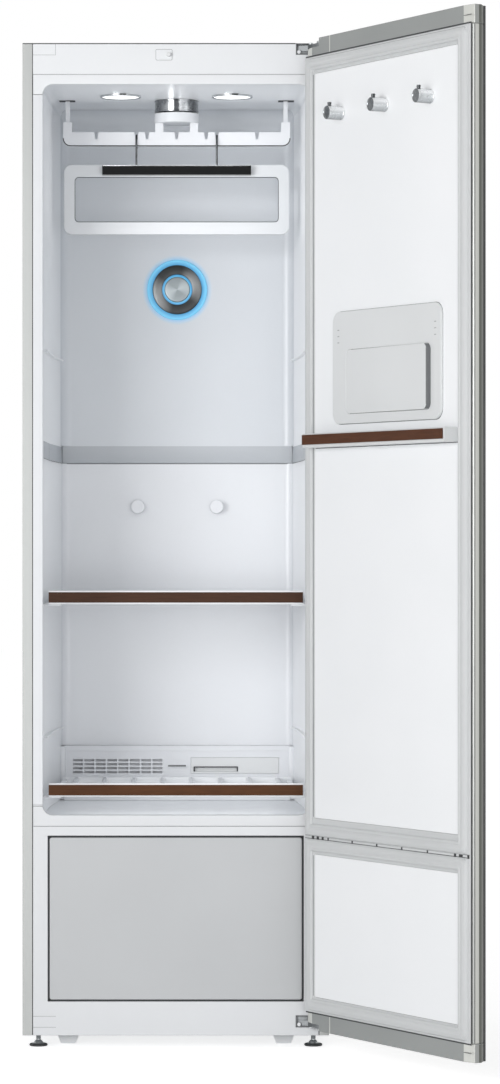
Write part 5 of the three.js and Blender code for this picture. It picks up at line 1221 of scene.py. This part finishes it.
BACK_HALF, BEND_HALF, MOUTH_HALF = 240, 255, 260.1
BACK_DEPTH, BEND_DEPTH, MOUTH_DEPTH = 500, 258, 19
DUCT_DEPTH, CEILING = 488, 1885.2
rear_in, rear_run = BEND_HALF - BACK_HALF, BACK_DEPTH - BEND_DEPTH
front_in, front_run = MOUTH_HALF - BEND_HALF, BEND_DEPTH - MOUTH_DEPTH
WALL_LEAN = rear_in / rear_run
duct_half = BACK_HALF + (BACK_DEPTH - DUCT_DEPTH) * WALL_LEAN
for side, word in ((-1, "left"), (1, "right")):
    cove(
        f"cove_{word}_upper", duct_abs, (side * duct_half, DUCT_DEPTH, 1190.4),
        (side * 22 * WALL_LEAN, -22, 0), (-side * 22, 0, 0), (0, 0, 694.5),
    )
    cove(
        f"cove_{word}_lower", formed_liner, (side * BACK_HALF, BACK_DEPTH, 568),
        (side * 16 * WALL_LEAN, -16, 0), (-side * 16, 0, 0), (0, 0, 586),
    )
    cove(
        f"cove_{word}_top_rear", ceiling_gloss, (side * BEND_HALF, BEND_DEPTH, CEILING), (0, 0, -13),
        (-side * 13, 0, 0), (-side * rear_in, rear_run, 0),
    )
    cove(
        f"cove_{word}_top_front", ceiling_gloss, (side * MOUTH_HALF, MOUTH_DEPTH, CEILING), (0, 0, -13),
        (-side * 13, 0, 0), (-side * front_in, front_run, 0),
    )
cove("cove_ceiling", duct_abs, (-241, DUCT_DEPTH, CEILING), (0, -44, 0), (0, 0, -44), (482, 0, 0))
print("coves: 9")

# %% [markdown]
# A ledge runs forward along each side wall of the chamber, at the height of the lip at the
# foot of the duct's cover, with a darker line under it. The ledge takes the lip's darker grey, which
# is painted shade. Each wall bends once, so the ledge is laid in two straight runs, each in a frame
# turned along its wall. The wall could be cut instead, but a strip on it leaves the liner whole.

# %% Ledges along the walls
def wall_frame(side, half_width, depth, lean):
    turn = Matrix.Rotation(side * math.atan(lean), 4, "Z")
    return cabinet_place @ Matrix.Translation(Vector((side * half_width, depth, 0)) * MM) @ turn


for side, word in ((-1, "left"), (1, "right")):
    for run, half_width, depth, lean, length in (
        ("rear", BEND_HALF, BEND_DEPTH, WALL_LEAN, 241),
        ("front", MOUTH_HALF, MOUTH_DEPTH + 5, front_in / front_run, 233),
    ):
        place = wall_frame(side, half_width, depth, lean)
        inner, outer = sorted((-side * 0.5, side * 1.5))
        strips(
            f"wall_ledge_{word}_{run}", "cabinet", "chamber_liner", duct_lip_painted_shade, place,
            [(inner, outer, 0.3, length, 1155.2, 1188.5)], 0.4,
        )
        inner, outer = sorted((-side * 0.7, side * 1.5))
        strips(
            f"wall_ledge_{word}_{run}_line", "cabinet", "chamber_liner", rim_grey_and_shade, place,
            [(inner, outer, 0.3, length, 1153.8, 1155.0)], 0.2,
        )
strips(
    "duct_foot_line", "cabinet", "chamber_liner", rim_grey_and_shade, FRONT,
    [(-239.5, 239.5, 499.2, 500.4, 1152.9, 1153.9)], 0.2,
)
print("wall ledges: 4")

# %% [markdown]
# The air module at the foot of the chamber. A thin slot lies beside its intake grille, the lint
# filter has a finger grip, and the module's ends run into the side walls in a soft round. Slot and
# grip are too small to need a cut, so they are strips painted with the shade inside them.

# %% Air module details
module_front = (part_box("air_module")[0][1] - CABINET_Y) * 1000
filter_low, filter_high = [[1000 * value for value in corner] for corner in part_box("lint_filter")]
filter_left, filter_front = filter_low[0] - 1000 * CABINET_X, filter_low[1] - 1000 * CABINET_Y
print("module front", round(module_front, 1), "filter", round(filter_left, 1), round(filter_front, 1))
print("filter heights", round(filter_low[2], 1), round(filter_high[2], 1))
strips(
    "module_slot", "cabinet", "black_moulding", rim_grey_and_shade, FRONT,
    [(-18.8, 18.4, module_front - 0.3, module_front + 1.0, 525.2, 528.4)], 0.3,
)
grip = filter_left + 5.5
strips(
    "filter_grip_line", "lint_filter", "black_moulding", deep_shade, FRONT,
    [
        (grip, grip + 92, filter_front - 0.3, filter_front + 1.0, 522.6, 524.8),
        (grip, grip + 2.4, filter_front - 0.3, filter_front + 1.0, 514.6, 523),
        (grip + 89.6, grip + 92, filter_front - 0.3, filter_front + 1.0, 514.6, 523),
    ],
    0.3,
)
strips(
    "module_end_rounds", "cabinet", "chamber_liner", formed_liner, FRONT,
    [(side * 238 - 6, side * 238 + 6, 458.5, 499, 456, 566.5) for side in (-1, 1)], 2.4,
)

# %% [markdown]
# The door's seal. A magnetic seal is an extruded bellows: on its flat foot run a thick round lip
# that holds the magnet strip, and a thinner one inside it. The foot comes from the frame, pressed a
# little flatter, and the lips are swept along the two loops, one round each inner panel. A sweep
# keeps the round section the same all along the loop, corners too.

# %% Door seal
seal = bpy.data.objects["door_gasket_finish"]
back_to_shut = door_place.inverted()
FOOT_FACE, FOOT_REACH = -0.0034, -0.0035
for vertex in seal.data.vertices:
    shut = back_to_shut @ vertex.co
    if shut.y > FOOT_REACH:
        shut.y = FOOT_FACE
        vertex.co = door_place @ shut
seal_loops = ((423, 1924), (84, 411))
SEAL_LIPS = (
    ("magnet", 21.5, 10.0, -12.4, seal_rubber), ("inner", 32.4, 4.0, -6.2, seal_rubber),
)
for word, inset, radius, depth, finish in SEAL_LIPS:
    loops = [
        ring_path(-298 + inset, 298 - inset, low - 16 + inset, high + 16 - inset, 6, depth)
        for low, high in seal_loops
    ]
    bead(f"door_seal_{word}_lip", "door", "gasket_rubber", finish, door_place, loops, radius, True, 20)
# Painted shade: a thin line down the hinge side of each inner panel stands for the shade between seal and
# panel.
strips(
    "door_panel_painted_shade", "door", "black_moulding", rim_grey_and_shade, door_place,
    [(261.3, 262.6, -9.4, -7.6, 110, 382), (261.3, 262.6, -9.4, -7.6, 457, 1895)], 0.2,
)
print("seal lips:", len(SEAL_LIPS))

# %% [markdown]
# The door's free edge. The inner half of the extrusion's side is painted lighter as a painted
# highlight, its outer half and its chamfer are painted darker as painted shade, and the corner caps
# repeat that with three facets. The side is one flat face, so it is cut in two along the line where
# the painted shade begins. A finish is chosen for each face from where it lies on the shut door.

# %% Door edge finishes
def face_finishes(piece, finishes, choose):
    piece.data.materials.clear()
    for finish in finishes:
        piece.data.materials.append(finish)
    for face in piece.data.polygons:
        centre = (back_to_shut @ face.center) * 1000
        normal = (back_to_shut.to_3x3() @ face.normal).normalized()
        face.material_index = choose(centre, normal)


def cut_along(piece, depth):
    """Cuts a door piece's faces along a plane that many millimetres behind its inner face."""
    shape = shape_of(piece.data)
    everything = [*shape.verts, *shape.edges, *shape.faces]
    start = door_place @ Vector((0, -depth * MM, 0))
    facing = door_place.to_3x3() @ Vector((0, 1, 0))
    bmesh.ops.bisect_plane(shape, geom=everything, dist=1e-6, plane_co=start, plane_no=facing)
    put_back(shape, piece.data)


SIDE_FROM, PAINTED_SHADE_FROM, CHAMFER_FROM = 296, 26, 31


def edge_band(centre, normal):
    if abs(normal.x) > 0.9 and abs(centre.x) > SIDE_FROM:
        return 1 if centre.y > -PAINTED_SHADE_FROM else 2
    if abs(normal.x) > 0.4 and centre.y < -CHAMFER_FROM:
        return 2
    return 0


def cap_band(centre, normal):
    band = edge_band(centre, normal)
    if not band and 0.1 < abs(normal.x) < 0.6 and centre.y > -20:
        return 3
    return band


for part in ("shell", "cap_top", "cap_bottom"):
    cut_along(bpy.data.objects[f"door_{part}_finish"], PAINTED_SHADE_FROM)
face_finishes(
    bpy.data.objects["door_shell_finish"], (door_edge_metal, trim_metal_painted_highlight, trim_metal_painted_shade), edge_band
)
for end in ("top", "bottom"):
    face_finishes(
        bpy.data.objects[f"door_cap_{end}_finish"],
        (cap_silver, door_edge_metal, trim_metal_painted_shade, trim_metal_painted_highlight),
        cap_band,
    )
strips(
    "door_edge_lines", "door", "black_moulding", deep_shade, door_place,
    [
        (-296.4, -295.1, -12.2, -11.4, 78, 1930), (-298.3, -297.7, -17.6, -16.2, 78, 1930),
        (295.1, 296.4, -12.2, -11.4, 78, 1930),
        (-294, 294, -12.1, -10.1, 1930.9, 1933.6), (-294, 294, -12.1, -10.1, 74.6, 77.0),
        (-295.8, -271, -11.9, -10.1, 1946.6, 1947.4), (-295.8, -271, -11.9, -10.1, 59.2, 60.0),
    ],
)
# Painted highlight: a bright strip along each cap's joint with the frame stands for the light caught there.
strips(
    "door_cap_joint_highlights", "door", "cap_moulding", trim_metal_painted_highlight, door_place,
    [(203, 205.4, -11.2, -10.2, 1931.6, 1965.6), (203, 205.4, -11.2, -10.2, 42.6, 76.6)], 0.3,
)
print("door edge ready")

# %% [markdown]
# Between its two panels the door has a slim strip with small dark clips at a fixed pitch, and wider
# catches near its two ends. The five clips share one pitch and are made as a row, while the catches
# differ and are set singly.

# %% Door mid strip
strips(
    "door_mid_strip", "door", "gasket_rubber", seal_rubber, door_place,
    [(-292, 268, -9.2, -7.7, 415.2, 419.4)], 0.5,
)
strips(
    "door_mid_shade", "door", "black_moulding", deep_shade, door_place,
    [(-292, 292, -9.2, -7.6, 413.9, 415.0), (-292, 292, -9.2, -7.9, 419.6, 420.4)], 0.2,
)
strips(
    "door_mid_latches", "door", "black_moulding", black_nylon, door_place,
    [
        (left, right, -8.5, -6.9, bottom, top)
        for left, right, bottom, top in (
            (258, 266, 413.4, 420.4), (240, 248, 413.4, 420.4), (222, 229, 414, 420),
            (-250, -243, 413.4, 420.4), (-272, -260, 414.4, 419.6), (-293.4, -288, 413.4, 420.4),
        )
    ],
    0.4,
)
clip = strip_piece("door_mid_clips", black_nylon, door_place, [(203, 207, -8.5, -6.9, 415.0, 419.6)], 0.4)
along_door = door_place.to_3x3() @ Vector((-89.3, 0, 0))
in_rows(clip, black_nylon, 5, along_door)
finished(clip, "door", "black_moulding")
print("mid strip clips: 5")

# %% [markdown]
# The aroma case and its lid. Both are outlined by the shade of their joint. The lid's free side and
# its lower edge stand off further, so its shade is wider there. The side wall at that end, where the
# fingers lift the lid, is matt and painted a dark grey as painted shade. A dark plate that is a
# little larger and lies behind the piece gives a shade round its corners too.

# %% Aroma case outlines
# Painted shade: the lid's side faces that turn towards its free end take the dark grey.
second_finish("aroma_lid", lid_side_painted_shade, lambda face: (back_to_shut.to_3x3() @ face.normal).x < -0.35)
lid_corners = bpy.data.objects["aroma_lid_finish"].data.vertices
lid_end = max((back_to_shut @ corner.co).x for corner in lid_corners) / MM
print("lid ends at", round(lid_end, 1))
plate(
    "aroma_case_shade", "door", "grey_moulding", deep_shade, door_place,
    corner_points(-202.6, 183.5, 1214.2, 1430.9, 22.6), (-10.2, -8.9), 0.15,
)
plate(
    "aroma_lid_shade", "door", "black_moulding", deep_shade, door_place,
    corner_points(-171.5, lid_end - 9, 1230.6, 1357.0, 14), (-8.2, -4.8), 0.2,
)
vent = strip_piece("aroma_case_vents", joint_shade, door_place, [(158, 165, -5.2, -4.2, 1370, 1371.6)], 0.3)
across_case = door_place.to_3x3() @ Vector((-345, 0, 0))
in_rows(vent, joint_shade, 2, across_case, 3, (0, 0, 12))
finished(vent, "door", "black_moulding")
strips(
    "door_shelf_shade", "door", "black_moulding", deep_shade, door_place,
    [(-253, 253, -9.6, -8.2, 1170.2, 1171.4)], 0.2,
)
print("aroma case outlines ready")

# %% [markdown]
# The hinge pockets. Each bracket lies in a pocket of the front frame. The pocket has a grey rim and
# a grey bottom, a pale cap covers a bolt in it, and the pin on which the door turns ends in a wide
# turned head on the bracket's eye. The heads are turned, and thin strips line the pocket that the
# frame leaves bare.

# %% Hinge pockets
PIN_HEAD = [
    (0, 0, 0), (8.4, 0, 0), (8.6, 0.3, 0), (8.6, 2.6, 0),
    (7.6, 3.6, 0), (3.4, 3.9, 0), (2.8, 3.0, 0), (0, 2.9, 0),
]
BOLT_HEAD = [(0, 0, 0), (4.8, 0, 0), (4.8, 2.2, 0), (4.1, 2.9, 0), (2.2, 2.9, 0), (2.0, 1.8, 0), (0, 1.8, 0)]
CAP_HEAD = [(0, 0, 0), (3.6, 0, 0), (3.6, 1.6, 0), (2.8, 2.3, 0), (0, 2.5, 0)]
flip = Matrix.Rotation(math.pi, 4, "X")
for word, pocket, eye, turn_over in (
    ("upper", (1943.2, 1965.6), 1961.4, Matrix.Identity(4)), ("lower", (40.4, 62.8), 42.6, flip),
):
    low, high = pocket
    strips(
        f"hinge_pocket_{word}", "cabinet", "black_steel", hinge_steel, FRONT,
        [(235.3, 276.7, 6.0, 7.5, low, high)], 0.2,
    )
    strips(
        f"hinge_pocket_{word}_rim", "cabinet", "black_steel", rim_grey_and_shade, FRONT,
        [
            (235.1, 236.7, -0.25, 6.0, low, high), (235.1, 262.0, -0.25, 6.0, low, low + 1.7),
            (235.1, 262.0, -0.25, 6.0, high - 1.7, high),
        ],
        0.2,
    )
    pin = turned(f"hinge_pin_head_{word}", PIN_HEAD, upright(283, -38, eye) @ turn_over, [plain_steel], 48)
    finished(pin, "cabinet", "black_steel")
    bolt = turned(f"hinge_bolt_{word}", BOLT_HEAD, upright(264, -13, eye) @ turn_over, [plain_steel], 40)
    finished(bolt, "cabinet", "black_steel")
    cap = turned(f"hinge_bolt_cap_{word}", CAP_HEAD, facing_front(241.2, 1.2, low + 5.4), [white_abs], 40)
    finished(cap, "cabinet", "white_moulding")
bead(
    "drawer_reveal", "cabinet", "black_moulding", deep_shade, FRONT,
    [ring_path(-248.75, 248.75, 92.3, 413.1, 6.7, 3.0)], 1.35,
)
print("hinge pockets: 2")

# %% [markdown]
# The back and the top. Flat-headed screws hold the sheets at a fixed pitch in their pressed step.
# Low on the back, where the machine's warm air leaves, are rows of pressed louvres, each a dark
# slot under a small lip, and a seam above them parts the machine's cover from the chamber's back.
# There are dozens of each, so the tree for rows sets them.

# %% Screws and louvres
SCREW = [(0, 0, 0), (4.6, 0, 0), (4.6, 0.35, 0), (3.9, 0.8, 0), (1.9, 0.9, 0), (1.7, 0.35, 0), (0, 0.3, 0)]
BACK_FACE, TOP_FACE = 543.9, 1965.1
facing_back = Matrix.Rotation(-math.pi / 2, 4, "X")
SCREW_ROWS = (
    ("back_side_screws", (-276, BACK_FACE, 70), 2, (552, 0, 0), 9, (0, 0, 228)),
    ("back_end_screws", (-138, BACK_FACE, 48), 3, (138, 0, 0), 2, (0, 0, 1894)),
    ("back_seam_screws", (-138, BACK_FACE, 372), 3, (138, 0, 0), 1, NO_STEP),
)
for name, place, columns, column_step, rows, row_step in SCREW_ROWS:
    screw = turned(name, SCREW, upright(*place) @ facing_back, [plain_steel], 24)
    in_rows(screw, plain_steel, columns, column_step, rows, row_step)
    finished(screw, "cabinet", "zinc_sheet")
screw = turned("top_screws", SCREW, upright(-278, 62, TOP_FACE), [plain_steel], 24)
in_rows(screw, plain_steel, 3, (278, 0, 0), 2, (0, 464, 0))
finished(screw, "cabinet", "silver_sheet")
for name, finish, slot, box in (
    ("back_louvre_slots", deep_shade, "black_moulding", (-204, -84, 543.5, 544.1, 84, 89)),
    ("back_louvre_lips", zinc_sheet, "zinc_sheet", (-206, -82, 543.5, 544.85, 89, 92)),
):
    louvre = strip_piece(name, finish, FRONT, [box], 0.25)
    in_rows(louvre, finish, 3, (144, 0, 0), 14, (0, 0, 15))
    finished(louvre, "cabinet", slot)
strips(
    "back_seam", "cabinet", "black_moulding", deep_shade, FRONT,
    [(-283, 283, 543.5, 544.05, 386, 387.4)], 0.2,
)
print("screws and louvres ready")

# %% [markdown]
# The studio. The photograph is a catalogue picture on pure white, lit by a large soft light from
# the front left, so the left part of the chamber is darker than its right part. The floor and the
# world are white to the camera, in reflections and through the tanks, while what they give to the
# object is held at a plain level. A picture of a studio could light it as well, but plain lamps can
# be set to the photograph one by one.

# %% Floor and world
def seen_plainly(tree):
    """One for rays from the camera, off a mirror or through a clear wall, and nothing for the rest."""
    path = add_node(tree, "ShaderNodeLightPath").outputs
    either = add_node(
        tree, "ShaderNodeMath", {"operation": "MAXIMUM"},
        links={0: path["Is Camera Ray"], 1: path["Is Glossy Ray"]},
    ).outputs["Value"]
    return add_node(
        tree, "ShaderNodeMath", {"operation": "MAXIMUM"}, links={0: either, 1: path["Is Transmission Ray"]}
    ).outputs["Value"]


def studio_floor_finish():
    material = bpy.data.materials.new("pale_studio_floor")
    tree = empty_tree(material)
    seen = seen_plainly(tree)
    lift = add_node(tree, "ShaderNodeMath", {"operation": "MULTIPLY"}, {1: FLOOR_LIFT}, {0: seen})
    matt = add_node(tree, "ShaderNodeBsdfDiffuse", values={"Color": (0.8, 0.8, 0.8, 1)})
    glow = add_node(tree, "ShaderNodeEmission", links={"Strength": lift.outputs["Value"]})
    both = add_node(tree, "ShaderNodeAddShader", links={0: matt.outputs["BSDF"], 1: glow.outputs["Emission"]})
    add_node(tree, "ShaderNodeOutputMaterial", links={"Surface": both.outputs["Shader"]})
    return material


FLOOR_LIFT = 0.68
FLOOR_REACH = 30.0
WORLD_LIGHT = 0.40
corners = [(sx * FLOOR_REACH, sy * FLOOR_REACH, 0) for sx, sy in ((-1, -1), (1, -1), (1, 1), (-1, 1))]
floor_mesh = bpy.data.meshes.new("studio_floor")
floor_mesh.from_pydata(corners, [], [(0, 1, 2, 3)])
piece_of("studio_floor", floor_mesh, studio_floor_finish())

world = bpy.data.worlds.new("studio_world")
bpy.context.scene.world = world
sky = empty_tree(world)
seen = seen_plainly(sky)
level = add_node(
    sky, "ShaderNodeMapRange", values={"To Min": WORLD_LIGHT, "To Max": 1.0}, links={"Value": seen}
)
white = add_node(
    sky, "ShaderNodeBackground", values={"Color": (1, 1, 1, 1)}, links={"Strength": level.outputs["Result"]}
)
add_node(sky, "ShaderNodeOutputWorld", links={"Surface": white.outputs["Background"]})
print("floor and world ready")

# %% [markdown]
# Lamps. Two large soft lights stand in front, the stronger one at the left. In the real chamber the
# white walls pass light on to each other many times. Four weak lamps inside it help that light along,
# in front of the opening, under the ceiling and over the chamber's floor, and neither the camera nor
# a mirror sees them.

# %% Studio lamps
def softbox(name, place, target, size, watts):
    data = bpy.data.lights.new(name, "AREA")
    data.shape = "RECTANGLE"
    data.size, data.size_y = size
    data.energy = watts
    lamp = bpy.data.objects.new(name, data)
    bpy.context.collection.objects.link(lamp)
    lamp.location = on_cabinet(*place)
    lamp.rotation_euler = (on_cabinet(*target) - lamp.location).to_track_quat("-Z", "Y").to_euler()
    return lamp


softbox("key_softbox", (-2700, -4700, 1500), (0, 200, 950), (2.4, 2.2), 145)
softbox("front_softbox", (900, -5600, 250), (0, 300, 900), (2.4, 2.4), 76)
FILLS = (
    ("chamber_fill", (60, -4, 1150), (60, 400, 1150), (0.36, 1.30), 0.58),
    ("ceiling_fill", (20, 150, 1600), (20, 230, 1885), (0.36, 0.20), 0.15),
    ("floor_fill", (0, 30, 488), (0, 240, 455), (0.40, 0.02), 0.08),
    ("tray_fill", (0, 250, 485), (0, 250.1, 455), (0.51, 0.47), 0.16),
)
for fill in FILLS:
    lamp = softbox(*fill)
    lamp.visible_camera = False
    lamp.visible_glossy = False
print("studio lamps set:", 2 + len(FILLS))
